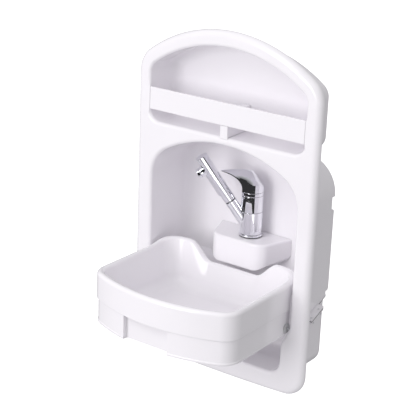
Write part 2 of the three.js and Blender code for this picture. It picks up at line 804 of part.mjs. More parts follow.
function handset() {
  const start = SPOUT.joint + 2.1;
  const seat = SPOUT.length - SPOUT.aeratorBack;
  let body = rod(spoutPoint(start), spoutPoint(SPOUT.length), SPOUT.rootRadius, SPOUT.tipRadius, 24);
  body = body.add(rod(spoutPoint(start - 22), spoutPoint(start + 1), SPOUT.plug, SPOUT.plug, 20));
  body = body.add(rod(spoutPoint(seat, 0), spoutPoint(seat, 19), SPOUT.aeratorRadius + 1.4));
  body = body.add(rod(spoutPoint(start + 16, 6.4), spoutPoint(seat, 7), 7.4, 7.8, 16));
  body = body.subtract(rod(spoutPoint(start - 30), spoutPoint(seat + 2), SPOUT.waterway, SPOUT.waterway, 16));
  body = body.subtract(rod(spoutPoint(seat, 0), spoutPoint(seat, 30), SPOUT.waterway, SPOUT.waterway, 16));
  return body.subtract(rod(spoutPoint(seat, 14), spoutPoint(seat, 30), SPOUT.aeratorRadius + GAP));
}

function aerator() {
  const seat = SPOUT.length - SPOUT.aeratorBack;
  const insert = rod(spoutPoint(seat, 14.3), spoutPoint(seat, 23), SPOUT.aeratorRadius);
  return insert.subtract(rod(spoutPoint(seat, 10), spoutPoint(seat, 30), 5.5, 5.5, 16));
}

function cartridge() {
  return ring(TAP.x, TAP.y, 297.3, 320, 14.2, 6.5, 20);
}

function cartridgeStem() {
  const stem = rod([TAP.x, TAP.y, 305], [TAP.x, TAP.y, 321], 6.2, 6.2, 16);
  return stem.add(rod([TAP.x, TAP.y, 320.5], [TAP.x, TAP.y, 348], 4, 4, 4));
}

// The lever is drawn along +X and then turned and placed on the tap. Its blade rises towards the tip, and its crown
// falls away to both sides like a roof.
function leverSolid() {
  const place = (geometry) => solid(geometry.rotateZ(1.5 * Math.PI - BEARING).translate(TAP.x, TAP.y, 0));
  const back = -LEVER.hubRadius - 1;
  const sideView = polygon([
    [back, LEVER.low],
    [back, 348],
    [-14, 354],
    [-8.6, 361],
    [-3, 370],
    [1.6, LEVER.top - 2],
    [20, LEVER.top],
    [45, LEVER.top - 1],
    [LEVER.tip, LEVER.tipHeight + LEVER.blade / 2],
    [LEVER.tip, LEVER.tipHeight - LEVER.blade / 2],
    [47, 370.4],
    [36.4, 365.6],
    [28.1, 358.4],
    [22.5, 351.2],
    [LEVER.hubRadius + 0.6, 344],
    [LEVER.hubRadius + 0.3, LEVER.low],
  ]);
  const planView = polygon([
    [-30, -30],
    [0, -30],
    [9, -17.6],
    [24.7, -12.5],
    [47.3, -8],
    [LEVER.tip, -5],
    [LEVER.tip, 5],
    [47.3, 8],
    [24.7, 12.5],
    [9, 17.6],
    [0, 30],
    [-30, 30],
  ]);
  const roofView = polygon([
    [-40, 310],
    [40, 310],
    [6, LEVER.top + 0.2],
    [-6, LEVER.top + 0.2],
  ]);
  const alongX = new THREE.Matrix4().makeBasis(
    new THREE.Vector3(0, 1, 0),
    new THREE.Vector3(0, 0, 1),
    new THREE.Vector3(1, 0, 0),
  );
  const side = place(extrude(sideView, 60, 0, 1).rotateX(Math.PI / 2).translate(0, 30, 0));
  const plan = place(extrude(planView, 200, 0, 1).translate(0, 0, 250));
  const roof = place(extrude(roofView, 120, 0, 1).applyMatrix4(alongX).translate(-40, 0, 0));
  const hub = rod([TAP.x, TAP.y, LEVER.low], [TAP.x, TAP.y, LEVER.top + 1], LEVER.hubRadius, LEVER.hubRadius, 28);
  const forward = place(new THREE.BoxGeometry(60, 60, 80).translate(32, 0, 380));
  const lever = hub.add(plan.intersect(forward)).intersect(side).intersect(roof);
  return lever.subtract(rod([TAP.x, TAP.y, 320], [TAP.x, TAP.y, 350], 15.5, 11, 20));
}

// ---- Hoses ----

function hose(points, radius) {
  const curve = new THREE.CatmullRomCurve3(points.map((point) => new THREE.Vector3(...point)), false, "centripetal");
  return tube(curve, radius, 20, 10);
}

function supplyTail(side) {
  const x = TAP.x + side * 5.6;
  const y = TAP.y + 5.6;
  return hose(
    [
      [x, y, 258],
      [x, y, 224],
      [TAP.x + side * 12, 116, 217],
      [side * 26, 140, 211],
      [side * 31, 151, 190],
      [side * 32, 151, TAIL_END],
    ],
    4,
  );
}

function sprayHose() {
  const x = 5.6;
  const y = TAP.y - 5.6;
  return hose(
    [
      [TAP.x - x, y, 258],
      [TAP.x - x, y, 226],
      [-5, 112, 208],
      [-10, 142, 207],
      [-12, 153, 180],
      [-12, 153, 90],
      [0, 153, 72],
      [12, 153, 90],
      [12, 153, 180],
      [11, 142, 207],
      [7, 112, 207],
      [TAP.x + x, y, 226],
      [TAP.x + x, y, 258],
    ],
    3.6,
  );
}

function tailNut(side) {
  const at = [side * 32, 151];
  const nut = rod([...at, TAIL_END - 14], [...at, TAIL_END + 2], 9, 9, 6);
  return nut.subtract(rod([...at, TAIL_END - 20], [...at, TAIL_END + 8], 4 + GAP, 4 + GAP, 16));
}

// ---- Assembly ----

const assembly = new THREE.Group();

function add(name, body, finish) {
  const mesh = new THREE.Mesh(geometryOf(body), finish);
  mesh.name = name;
  assembly.add(mesh);
}

const SIDES = [
  ["left", -1],
  ["right", 1],
];

add("front_panel", frontPanel(), WHITE);
add("shelf_bar", shelfBar(), WHITE);
add("sump_box", sumpBox(), WHITE);
add("sump_gasket", sumpGasket(), BLACK);
SUMP_SCREWS.forEach(([side, y], i) => add(`sump_screw_${i + 1}`, sumpScrew(side, y), STEEL));
add("drain_elbow", drainElbow(), GREY);
add("drain_seal", collar(TUB.back - SKIN - 2 + GAP, TUB.back - SKIN - GAP, 13.5, DRAIN.radius + GAP), BLACK);
add("drain_nut", collar(TUB.back + GAP, TUB.back + 8, 15, DRAIN.radius + GAP, 6), GREY);

add("tap_base_gasket", ring(TAP.x, TAP.y, LEDGE.top + GAP, TAP.foot - GAP, 21.5, TAP.shank + GAP), BLACK);
add("tap_body", tapBody(), CHROME);
add("tap_washer", ring(TAP.x, TAP.y, 241, LEDGE.top - LEDGE.skin - GAP, 22, TAP.shank + GAP), STEEL);
const nutBlank = rod([TAP.x, TAP.y, 232.5], [TAP.x, TAP.y, 240.7], 22, 22, 6);
add("tap_nut", nutBlank.subtract(rod([TAP.x, TAP.y, 220], [TAP.x, TAP.y, 250], TAP.shank + GAP)), BRASS);
const collarBore = 15.5;
add("tap_collar", ring(TAP.x, TAP.y, TAP.top + GAP, TAP.collarHigh, TAP.radius, collarBore, 28), CHROME);
add("tap_cartridge", cartridge(), POLYMER);
add("cartridge_nut", ring(TAP.x, TAP.y, 320.3, 327.6, 14.2, 8.5, 20), BRASS);
add("cartridge_stem", cartridgeStem(), POLYMER);
add("lever", leverSolid(), CHROME);
add("spout", spoutSleeve(), CHROME);
add("spout_ring", spoutRing(), BLACK);
add("handset", handset(), CHROME);
add("aerator", aerator(), CHROME);

for (const [name, side] of [
  ["hot", -1],
  ["cold", 1],
]) {
  add(`${name}_tail`, supplyTail(side), BRAID);
  add(`${name}_tail_nut`, tailNut(side), BRASS);
}
add("spray_hose", sprayHose(), BRAID);

add("basin_bowl", basinBowl(), WHITE);
add("basin_cover", basinCover(), WHITE);
COVER_SCREWS.forEach(([x, y], i) => add(`cover_screw_${i + 1}`, coverScrew(x, y), STEEL));
for (const [name, side] of SIDES) {
  add(`bar_screw_${name}`, barScrew(side), STEEL);
  add(`hinge_pin_${name}`, hingePin(side), STEEL);
  add(`hinge_bush_${name}`, hingeBush(side), GREY);
}

// The part's origin is on the back of the flange, in the middle of its bottom land.
assembly.position.set(0, -PANEL.depth, -PANEL.land / 2);
const sink = new THREE.Group();
sink.add(assembly);

export default sink;
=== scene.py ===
"""The looks of the built-in handwash sink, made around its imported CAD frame.

Lengths in this file are millimetres in the panel's own frame: X to the right of a person in front of the
sink, Y into the wall from the panel's front plane, Z up from the panel's lowest point. place() turns them
into the metres of the row frame. Sizes that the frame knows are read from it.
"""

import json
import math

import bmesh
import bpy
import numpy as np
from mathutils import Matrix, Vector


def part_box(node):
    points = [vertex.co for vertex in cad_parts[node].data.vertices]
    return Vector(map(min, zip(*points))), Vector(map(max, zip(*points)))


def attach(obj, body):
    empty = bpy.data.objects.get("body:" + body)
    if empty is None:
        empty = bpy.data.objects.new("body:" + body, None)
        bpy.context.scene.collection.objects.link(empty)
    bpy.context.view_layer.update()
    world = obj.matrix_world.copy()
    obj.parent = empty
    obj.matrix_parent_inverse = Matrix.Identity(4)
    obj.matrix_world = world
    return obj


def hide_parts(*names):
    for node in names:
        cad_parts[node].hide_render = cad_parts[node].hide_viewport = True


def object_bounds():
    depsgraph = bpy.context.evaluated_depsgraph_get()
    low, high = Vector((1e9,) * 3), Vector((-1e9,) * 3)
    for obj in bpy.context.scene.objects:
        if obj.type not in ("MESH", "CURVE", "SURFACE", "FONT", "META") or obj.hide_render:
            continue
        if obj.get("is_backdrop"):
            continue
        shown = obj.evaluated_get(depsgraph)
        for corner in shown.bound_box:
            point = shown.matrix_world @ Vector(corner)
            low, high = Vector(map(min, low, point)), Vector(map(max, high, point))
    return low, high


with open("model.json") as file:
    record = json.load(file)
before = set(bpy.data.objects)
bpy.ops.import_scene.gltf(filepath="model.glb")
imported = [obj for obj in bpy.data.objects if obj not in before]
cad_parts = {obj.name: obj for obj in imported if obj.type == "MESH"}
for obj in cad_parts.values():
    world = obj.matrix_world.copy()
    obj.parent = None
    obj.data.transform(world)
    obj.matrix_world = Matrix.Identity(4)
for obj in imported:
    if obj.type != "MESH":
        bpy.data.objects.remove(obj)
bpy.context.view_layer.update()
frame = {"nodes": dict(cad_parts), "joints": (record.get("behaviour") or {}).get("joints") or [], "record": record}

MM = 0.001
GAP = 0.3

# ---- Sizes read from the frame ----


PANEL_LOW, PANEL_HIGH = (np.array(v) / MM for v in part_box("front_panel"))
FLANGE_DEPTH = -PANEL_LOW[1]
SHIFT = np.array([0.0, -FLANGE_DEPTH, PANEL_LOW[2]])
JOINTS = {joint["name"]: joint for joint in frame["joints"]}


def joint_place(name):
    return np.array(JOINTS[name]["pos_m"]) / MM - SHIFT


# ---- Outlines ----


class Outline:
    """A closed loop of points, and the direction each point moves in when the loop grows."""

    def __init__(self, points, normals):
        self.points = np.array(points, float)
        self.normals = np.array(normals, float)

    def grown(self, amount):
        return self.points + self.normals * np.reshape(amount, (-1, 1))


def line(start, end, normal, count):
    steps = np.linspace(0, 1, count, endpoint=False)[:, None]
    points = np.array(start) + steps * (np.array(end) - np.array(start))
    return [(p, normal) for p in points]


def arc(centre, radius, start, end, count):
    """Points from start to end, in degrees, without the last one."""
    points = []
    for angle in np.radians(np.linspace(start, end, count, endpoint=False)):
        normal = (math.cos(angle), math.sin(angle))
        points.append(((centre[0] + radius * normal[0], centre[1] + radius * normal[1]), normal))
    return points


def bezier(a, b, c, d, count):
    points = []
    a, b, c, d = (np.array(corner) for corner in (a, b, c, d))
    for t in np.linspace(0, 1, count, endpoint=False):
        u = 1 - t
        place_at = u**3 * a + 3 * u * u * t * b + 3 * u * t * t * c + t**3 * d
        slope = u * u * (b - a) + 2 * u * t * (c - b) + t * t * (d - c)
        slope = slope / np.linalg.norm(slope)
        points.append((place_at, (slope[1], -slope[0])))
    return points


def mirrored(half, top):
    """A closed loop from its right half, which starts on the middle line, and its last point."""
    right = half + [(top, (0, 1))]
    left = [((-p[0], p[1]), (-n[0], n[1])) for p, n in right[1:-1]]
    loop = right + left[::-1]
    return Outline([p for p, n in loop], [n for p, n in loop])


def arch(side_from, half_width, shoulder, radius, peak):
    """The right side of an arch: a straight side, a rounded shoulder and the big arc up to the peak."""
    centre = peak - radius
    x = half_width - shoulder
    z = centre + math.sqrt((radius - shoulder) ** 2 - x**2)
    turn = math.degrees(math.atan2(z - centre, x))
    path = line((half_width, side_from), (half_width, z), (1, 0), 12)
    path += arc((x, z), shoulder, 0, turn, 14)
    path += arc((0, centre), radius, turn, 90, 30)
    return path


# ---- Solids ----


def mesh_object(name, vertices, faces):
    mesh = bpy.data.meshes.new(name)
    mesh.from_pydata([tuple(v) for v in vertices], [], faces)
    work = bmesh.new()
    work.from_mesh(mesh)
    bmesh.ops.recalc_face_normals(work, faces=work.faces)
    work.to_mesh(mesh)
    work.free()
    made = bpy.data.objects.new(name, mesh)
    bpy.context.scene.collection.objects.link(made)
    return made


def skin(rings):
    """A closed solid through rings that hold the same number of points, with a flat cap at each end."""
    count = len(rings[0])
    faces = [tuple(range(count)), tuple(range((len(rings) - 1) * count, len(rings) * count))]
    for k in range(len(rings) - 1):
        for i in range(count):
            j = (i + 1) % count
            faces.append((k * count + i, k * count + j, (k + 1) * count + j, (k + 1) * count + i))
    return mesh_object("solid", np.concatenate(rings), faces)


def frontal(outline, profile):
    """A solid with an outline seen from the front. The profile is (growth, depth) pairs, front to back."""
    rings = []
    for growth, depth in profile:
        flat = outline.grown(growth)
        rings.append(np.column_stack([flat[:, 0], np.broadcast_to(depth, len(flat)), flat[:, 1]]))
    return skin(rings)


def level(outline, profile):
    """A solid whose outline is seen from above. The profile is (growth, height) pairs from bottom to top."""
    rings = []
    for growth, height in profile:
        flat = outline.grown(growth)
        rings.append(np.column_stack([flat[:, 0], flat[:, 1], np.broadcast_to(height, len(flat))]))
    return skin(rings)


def quarter(radius, steps=7):
    """(across, along) pairs of a quarter circle, from (radius, 0) to (0, radius)."""
    turns = np.linspace(0, math.pi / 2, steps)
    return [(radius * (1 - math.sin(t)), radius * (1 - math.cos(t))) for t in turns]


def fillet(low, high, floor_round, growth=0.0, draft=0.0, steps=9):
    """A profile whose far end is rounded by a radius that may differ from point to point."""
    profile = []
    for t in np.linspace(0, math.pi / 2, steps):
        depth = high - floor_round * (1 - math.sin(t))
        inset = floor_round * (1 - math.cos(t))
        profile.append((growth - draft * (depth - low) / (high - low) - inset, depth))
    return profile


def rounded(low, high, low_round=0.0, high_round=0.0, growth=0.0, draft=0.0, steps=7):
    """A profile from low to high whose two ends are rounded over. Draft narrows it towards high."""
    profile = [(-a, low + b) for a, b in quarter(low_round, steps)] if low_round else [(0.0, low)]
    end = [(-a, high - b) for a, b in quarter(high_round, steps)][::-1] if high_round else [(0.0, high)]
    profile += end
    return [(growth + g - draft * (d - low) / (high - low), d) for g, d in profile]


def prism(points, low, high, axis="X"):
    """A straight prism. For axis X the points are (Y, Z), for Z (X, Y), and for Y (X, Z)."""
    points = np.array(points, float)
    rings = []
    for value in (low, high):
        full = np.full(len(points), float(value))
        columns = {"X": [full, points[:, 0], points[:, 1]], "Y": [points[:, 0], full, points[:, 1]],
                   "Z": [points[:, 0], points[:, 1], full]}[axis]
        rings.append(np.column_stack(columns))
    return skin(rings)


def soft_box(low, high, radius=1.0, steps=4):
    """A box whose upright (Z) edges and its top and bottom edges are rounded."""
    low, high = np.array(low, float), np.array(high, float)
    centre = (low + high) / 2
    half = (high - low) / 2
    loop = []
    for sx, sy, start in ((1, -1, -90), (1, 1, 0), (-1, 1, 90), (-1, -1, 180)):
        middle = (centre[0] + sx * (half[0] - radius), centre[1] + sy * (half[1] - radius))
        for angle in np.radians(np.linspace(start, start + 90, steps + 1)):
            normal = (math.cos(angle), math.sin(angle))
            loop.append(((middle[0] + radius * normal[0], middle[1] + radius * normal[1]), normal))
    outline = Outline([p for p, n in loop], [n for p, n in loop])
    return level(outline, rounded(low[2], high[2], radius * 0.98, radius * 0.98, steps=steps))


def along(start, end, profile, segments=48):
    """A turned solid about the line from start to end. The profile is (radius, distance from start) pairs."""
    start, end = Vector(start), Vector(end)
    turn = Vector((0, 0, 1)).rotation_difference((end - start).normalized()).to_matrix()
    rings = []
    for radius, distance in profile:
        angles = np.linspace(0, 2 * math.pi, segments, endpoint=False)
        circle = [radius * np.cos(angles), radius * np.sin(angles), np.full(segments, distance)]
        rings.append(np.column_stack(circle) @ np.array(turn).T + np.array(start))
    return skin(rings)


def rod(start, end, radius, soft=0.0, segments=48, end_radius=None):
    """A round bar between two points. Soft rounds its two end edges."""
    length = (Vector(end) - Vector(start)).length
    last = radius if end_radius is None else end_radius
    profile = [(radius - a, b) for a, b in quarter(soft, 5)] if soft else [(radius, 0.0)]
    profile += [(last - a, length - b) for a, b in quarter(soft, 5)][::-1] if soft else [(last, length)]
    return along(start, end, profile, segments)


def combine(target, tool, operation):
    modifier = target.modifiers.new("combine", "BOOLEAN")
    modifier.operation = operation
    modifier.solver = "MANIFOLD"
    modifier.object = tool
    bpy.context.view_layer.update()
    evaluated = target.evaluated_get(bpy.context.evaluated_depsgraph_get())
    mesh = bpy.data.meshes.new_from_object(evaluated)
    if not mesh.polygons:
        raise RuntimeError(f"{operation} left nothing of {target.name}")
    target.modifiers.clear()
    target.data = mesh
    bpy.data.objects.remove(tool)
    return target


def join(target, *tools):
    for tool in tools:
        combine(target, tool, "UNION")
    return target


def cut(target, *tools):
    for tool in tools:
        combine(target, tool, "DIFFERENCE")
    return target


def common(target, tool):
    return combine(target, tool, "INTERSECT")


def place(piece, name, body, slot, nodes=(), sharp=34, bevel=0.0):
    """Turns a finished solid into a named piece of the object, in metres, riding on a body."""
    piece.name = name
    piece.data.name = name
    piece.data.transform(Matrix.Scale(MM, 4) @ Matrix.Translation(SHIFT))
    work = bmesh.new()
    work.from_mesh(piece.data)
    bmesh.ops.remove_doubles(work, verts=work.verts, dist=2e-6)
    bmesh.ops.dissolve_degenerate(work, edges=work.edges, dist=2e-6)
    work.to_mesh(piece.data)
    work.free()
    if bevel:
        edge = piece.modifiers.new("edge", "BEVEL")
        edge.width = bevel * MM
        edge.segments = 3
        edge.limit_method = "ANGLE"
        edge.angle_limit = math.radians(28)
        edge.harden_normals = False
    piece.data.shade_smooth()
    piece.data.set_sharp_from_angle(angle=math.radians(sharp))
    normals = piece.modifiers.new("normals", "WEIGHTED_NORMAL")
    normals.keep_sharp = True
    normals.weight = 60
    piece.data.materials.clear()
    piece.data.materials.append(MATERIALS[slot]())
    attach(piece, body)
    if nodes:
        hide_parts(*nodes)
    return piece


# ---- Materials ----


def new_material(name):
    made = bpy.data.materials.new(name)
    made.use_nodes = True
    nodes = made.node_tree.nodes
    return made, nodes, made.node_tree.links, nodes["Principled BSDF"]


def noise(nodes, links, scale, detail=2.0, stretch=None):
    coordinates = nodes.new("ShaderNodeTexCoord")
    texture = nodes.new("ShaderNodeTexNoise")
    texture.inputs["Scale"].default_value = scale
    texture.inputs["Detail"].default_value = detail
    source = coordinates.outputs["Object"]
    if stretch:
        mapping = nodes.new("ShaderNodeMapping")
        mapping.inputs["Scale"].default_value = stretch
        links.new(source, mapping.inputs["Vector"])
        source = mapping.outputs["Vector"]
    links.new(source, texture.inputs["Vector"])
    return texture.outputs["Fac"]


def spread(nodes, links, value, low, high):
    node = nodes.new("ShaderNodeMapRange")
    node.inputs["From Min"].default_value = 0.3
    node.inputs["From Max"].default_value = 0.7
    node.inputs["To Min"].default_value = low
    node.inputs["To Max"].default_value = high
    links.new(value, node.inputs["Value"])
    return node.outputs["Result"]


def tint(nodes, links, factor, low, high):
    node = nodes.new("ShaderNodeMix")
    node.data_type = "RGBA"
    node.inputs["A"].default_value = (*low, 1)
    node.inputs["B"].default_value = (*high, 1)
    links.new(factor, node.inputs["Factor"])
    return node.outputs["Result"]


def bump(nodes, links, shader, height, strength, distance):
    node = nodes.new("ShaderNodeBump")
    node.inputs["Strength"].default_value = strength
    node.inputs["Distance"].default_value = distance
    links.new(height, node.inputs["Height"])
    links.new(node.outputs["Normal"], shader.inputs["Normal"])
    return node


def white_abs():
    """Glossy moulded ABS: a cool white with a faint moulding ripple, and painted shade that darkens it in its
    joints and creases.
    """
    made, nodes, links, shader = new_material("white_abs")
    patches = noise(nodes, links, 14, 3)
    patches = spread(nodes, links, patches, 0, 1)
    base = tint(nodes, links, patches, (0.905, 0.878, 0.925), (0.918, 0.890, 0.937))
    # Painted shade: ambient occlusion mixes the base colour towards a grey in joints and creases.
    shade = nodes.new("ShaderNodeAmbientOcclusion")
    shade.inputs["Distance"].default_value = 0.004
    shade.samples = 6
    crease_shade = nodes.new("ShaderNodeMix")
    crease_shade.data_type = "RGBA"
    crease_shade.inputs["A"].default_value = (0.66, 0.65, 0.68, 1)
    links.new(shade.outputs["AO"], crease_shade.inputs["Factor"])
    links.new(base, crease_shade.inputs["B"])
    links.new(crease_shade.outputs["Result"], shader.inputs["Base Color"])
    links.new(spread(nodes, links, noise(nodes, links, 40, 2), 0.17, 0.25), shader.inputs["Roughness"])
    shader.inputs["Specular IOR Level"].default_value = 0.5
    shader.inputs["Coat Weight"].default_value = 0.25
    shader.inputs["Coat Roughness"].default_value = 0.08
    bump(nodes, links, shader, noise(nodes, links, 260, 2), 0.12, 0.00012)
    return made


def metal(name, low, high, rough_low, rough_high, ripple=0.05, scale=120, stretch=None):
    made, nodes, links, shader = new_material(name)
    links.new(tint(nodes, links, noise(nodes, links, 30, 2), low, high), shader.inputs["Base Color"])
    shader.inputs["Metallic"].default_value = 1
    grain = noise(nodes, links, scale, 3, stretch)
    links.new(spread(nodes, links, grain, rough_low, rough_high), shader.inputs["Roughness"])
    bump(nodes, links, shader, grain, ripple, 0.0001)
    return made


def chrome():
    return metal("chrome", (0.80, 0.81, 0.85), (0.88, 0.88, 0.92), 0.02, 0.05, 0.01, 60)


def stainless():
    return metal("stainless", (0.56, 0.57, 0.59), (0.68, 0.69, 0.7), 0.22, 0.4, 0.15, 300, (1, 1, 12))


def brass():
    return metal("brass", (0.62, 0.47, 0.2), (0.75, 0.6, 0.3), 0.22, 0.36, 0.12, 400, (1, 1, 8))


def plain(name, low, high, rough_low, rough_high, ripple, scale=500):
    made, nodes, links, shader = new_material(name)
    links.new(tint(nodes, links, noise(nodes, links, 60, 3), low, high), shader.inputs["Base Color"])
    grain = noise(nodes, links, scale, 3)
    links.new(spread(nodes, links, grain, rough_low, rough_high), shader.inputs["Roughness"])
    bump(nodes, links, shader, grain, ripple, 0.0002)
    return made


def black_rubber():
    return plain("black_rubber", (0.012, 0.012, 0.014), (0.03, 0.03, 0.032), 0.6, 0.85, 0.3)


def grey_plastic():
    return plain("grey_plastic", (0.62, 0.62, 0.64), (0.7, 0.7, 0.72), 0.38, 0.52, 0.15)


def cream_plastic():
    return plain("cream_plastic", (0.6, 0.58, 0.5), (0.7, 0.68, 0.6), 0.3, 0.45, 0.1)


def braided_hose():
    """Steel braid: two families of fine ridges that cross."""
    made, nodes, links, shader = new_material("braided_hose")
    coordinates = nodes.new("ShaderNodeTexCoord")
    ridges = []
    for turn in (38, -38):
        mapping = nodes.new("ShaderNodeMapping")
        mapping.inputs["Rotation"].default_value = (0, math.radians(turn), math.radians(20))
        wave = nodes.new("ShaderNodeTexWave")
        wave.inputs["Scale"].default_value = 260
        links.new(coordinates.outputs["Object"], mapping.inputs["Vector"])
        links.new(mapping.outputs["Vector"], wave.inputs["Vector"])
        ridges.append(wave.outputs["Fac"])
    weave = nodes.new("ShaderNodeMath")
    weave.operation = "MAXIMUM"
    links.new(ridges[0], weave.inputs[0])
    links.new(ridges[1], weave.inputs[1])
    steel = tint(nodes, links, weave.outputs[0], (0.16, 0.16, 0.17), (0.7, 0.72, 0.74))
    links.new(steel, shader.inputs["Base Color"])
    shader.inputs["Metallic"].default_value = 0.9
    shader.inputs["Roughness"].default_value = 0.32
    bump(nodes, links, shader, weave.outputs[0], 0.5, 0.0003)
    return made


MADE = {}


def once(maker):
    """The same material for every piece that asks for it."""

    def get():
        if maker.__name__ not in MADE:
            MADE[maker.__name__] = maker()
        return MADE[maker.__name__]

    return get


MATERIALS = {maker.__name__: once(maker) for maker in
             (white_abs, chrome, stainless, brass, black_rubber, grey_plastic, cream_plastic, braided_hose)}

# ---- The front panel ----

WALL = 3.5
FACE = 4.0
HALF_WIDTH = PANEL_HIGH[0]
PEAK = PANEL_HIGH[2] - PANEL_LOW[2]

SHELF_SIDE = 166.4
SHELF_LOW = 459.5
SHELF_DEPTH = 72.5
BAR_LOW, BAR_HIGH = 481.7, 523.2

NICHE_SIDE = 159.2
NICHE_DEPTH = 132.0
NICHE_PEAK = 445.0
RECESS_SIDE = 142.0
RECESS_LOW = 40.0
RECESS_DEPTH = 52.0
THROAT_DEPTH = 115.0
NICHE_DRAFT = 3.0
GROOVES = [(163, 172), (327, 355)]
GROOVE_REACH = 18.0

LEDGE_FRONT = 62.0
LEDGE_TOP = 248.0
LEDGE_LOW = 195.5
LEDGE_CENTRE = -5.0
LEDGE_SIDE, LEDGE_FOOT = 62.0, 80.0

PIVOT = joint_place("basin_fold")
TAP = joint_place("spout_swivel")


def panel_outline():
    corner, bow = 44.0, 3.0
    side = HALF_WIDTH
    half = []
    for t in np.linspace(0, 1, 8, endpoint=False):
        half.append(((t * (side - corner), bow * t * t), (0, -1)))
    half += arc((side - corner, bow + corner), corner, -90, 0, 14)
    half += arch(bow + corner, side, 50, 290, PEAK)
    return mirrored(half, (0, PEAK))


def shelf_outline():
    corner = 22.0
    peak = 621.0
    half = line((0, SHELF_LOW), (SHELF_SIDE - corner, SHELF_LOW), (0, -1), 10)
    half += arc((SHELF_SIDE - corner, SHELF_LOW + corner), corner, -90, 0, 12)
    half += arch(SHELF_LOW + corner, SHELF_SIDE, 25, 265, peak)
    return mirrored(half, (0, peak))


def niche_outline():
    corner = 24.0
    waist_low, waist_high = 96.0, 138.0
    half = line((0, RECESS_LOW), (RECESS_SIDE - corner, RECESS_LOW), (0, -1), 8)
    half += arc((RECESS_SIDE - corner, RECESS_LOW + corner), corner, -90, 0, 12)
    half += line((RECESS_SIDE, RECESS_LOW + corner), (RECESS_SIDE, waist_low), (1, 0), 4)
    waist_start, waist_end = (RECESS_SIDE, waist_low), (NICHE_SIDE, waist_high)
    half += bezier(waist_start, (RECESS_SIDE + 2, 112), (NICHE_SIDE - 6, 118), waist_end, 12)
    half += arch(waist_high, NICHE_SIDE, 64, 262, NICHE_PEAK)
    return mirrored(half, (0, NICHE_PEAK))


def seam_height(y):
    """The height of the sloping joint between panel and tub at depth y."""
    return 139 + 0.39 * (y - 60)


def niche_side(grow, reach):
    """The niche's limits seen from the side. Reach carries the hollow on past its open edges."""
    opening = RECESS_DEPTH + reach
    throat = THROAT_DEPTH + grow
    back = NICHE_DEPTH + grow
    points = [(-30, RECESS_LOW - grow - 10), (opening, RECESS_LOW - grow - 10)]
    points += [(opening, seam_height(RECESS_DEPTH) + 2 - reach), (throat, seam_height(throat) + 2 - reach)]
    points += [(throat, 164), (throat + 3, 168), (back - 3, 179), (back, 183), (back, 500), (-30, 500)]
    return prism(points, -250, 250)


def niche_round():
    """The radius between the niche's walls and its back: broad at the arch, tight at the foot."""
    heights = niche_outline().points[:, 1]
    return 17 + 15 * smooth(heights, 110, 200)


def niche_outer():
    """The niche's outside, with grooves across its rear corners above and below the main box."""
    profile = [(WALL, 1.0)] + fillet(1, NICHE_DEPTH + WALL, 10, WALL, 1.0)
    box = common(frontal(niche_outline(), profile), niche_side(WALL, 0))
    x, y = NICHE_SIDE + WALL, NICHE_DEPTH + WALL
    for low, high in GROOVES:
        for side in (-1, 1):
            outside = side * (x + 1)
            corner = [(outside, y + 1), (side * (x - GROOVE_REACH), y + 1), (outside, y - GROOVE_REACH)]
            cut(box, prism(corner, low, high, "Z"))
    return box


def seam_slab(low, high, side, back):
    front = RECESS_DEPTH
    points = [(front, seam_height(front) + low), (back, seam_height(back) + low),
              (back, seam_height(back) + high), (front, seam_height(front) + high)]
    return prism(points, -side, side)


def band(low, high):
    return prism([(-20, low), (200, low), (200, high), (-20, high)], -250, 250)


TUB_SIDE = 163.0
TUB_BACK = 119.0
TUB_ROUND = 13.0
SEAM_FLANGE = 176.0
FLANGE_STOP = TUB_BACK - 28


def ledge(inset, back):
    """The tap's ledge: bowed in front, wider towards the wall behind it, and rounded below at its ends."""
    front, low, high = LEDGE_FRONT + inset, LEDGE_LOW + inset, LEDGE_TOP - inset
    side, foot, corner = LEDGE_SIDE - inset, LEDGE_FOOT - inset, 28.0
    half = line((0, front), (28, front), (0, -1), 8)
    half += bezier((28, front), (44, front), (side - 5, front + 5), (side, front + 19), 20)
    flare_start, flare_end = (side, front + 19), (foot, NICHE_DEPTH)
    half += bezier(flare_start, (side + 5, front + 33), (foot - 8, NICHE_DEPTH - 22), flare_end, 16)
    half += line((foot, NICHE_DEPTH), (foot, back), (1, 0), 2)
    half += line((foot, back), (0, back), (0, 1), 6)
    outline = mirrored(half, (0, back))
    outline.normals[outline.points[:, 1] > NICHE_DEPTH - 0.5, 1] = 0
    plan = level(outline, rounded(low, high, 0, 4.5))
    half = line((0, low), (side + 1 - corner, low), (0, -1), 6)
    half += arc((side + 1 - corner, low + corner), corner, -90, 0, 20)
    half += line((side + 1, low + corner), (side + 1, high + 20), (1, 0), 3)
    half += line((side + 1, high + 20), (0, high + 20), (0, 1), 3)
    depths = [(-a, front - 0.2 + b) for a, b in quarter(3, 6)]
    depths += [(0.0, d) for d in np.linspace(front + 5, back + 1, 20)]
    shape = frontal(mirrored(half, (0, high + 20)), depths)
    for vertex in shape.data.vertices:
        share = max(0.0, (vertex.co.y - LEDGE_FRONT) / (NICHE_DEPTH - LEDGE_FRONT))
        vertex.co.x *= 1 + share * (foot / side - 1)
    whole = common(plan, shape)
    whole.data.transform(Matrix.Translation((LEDGE_CENTRE, 0, 0)))
    return whole


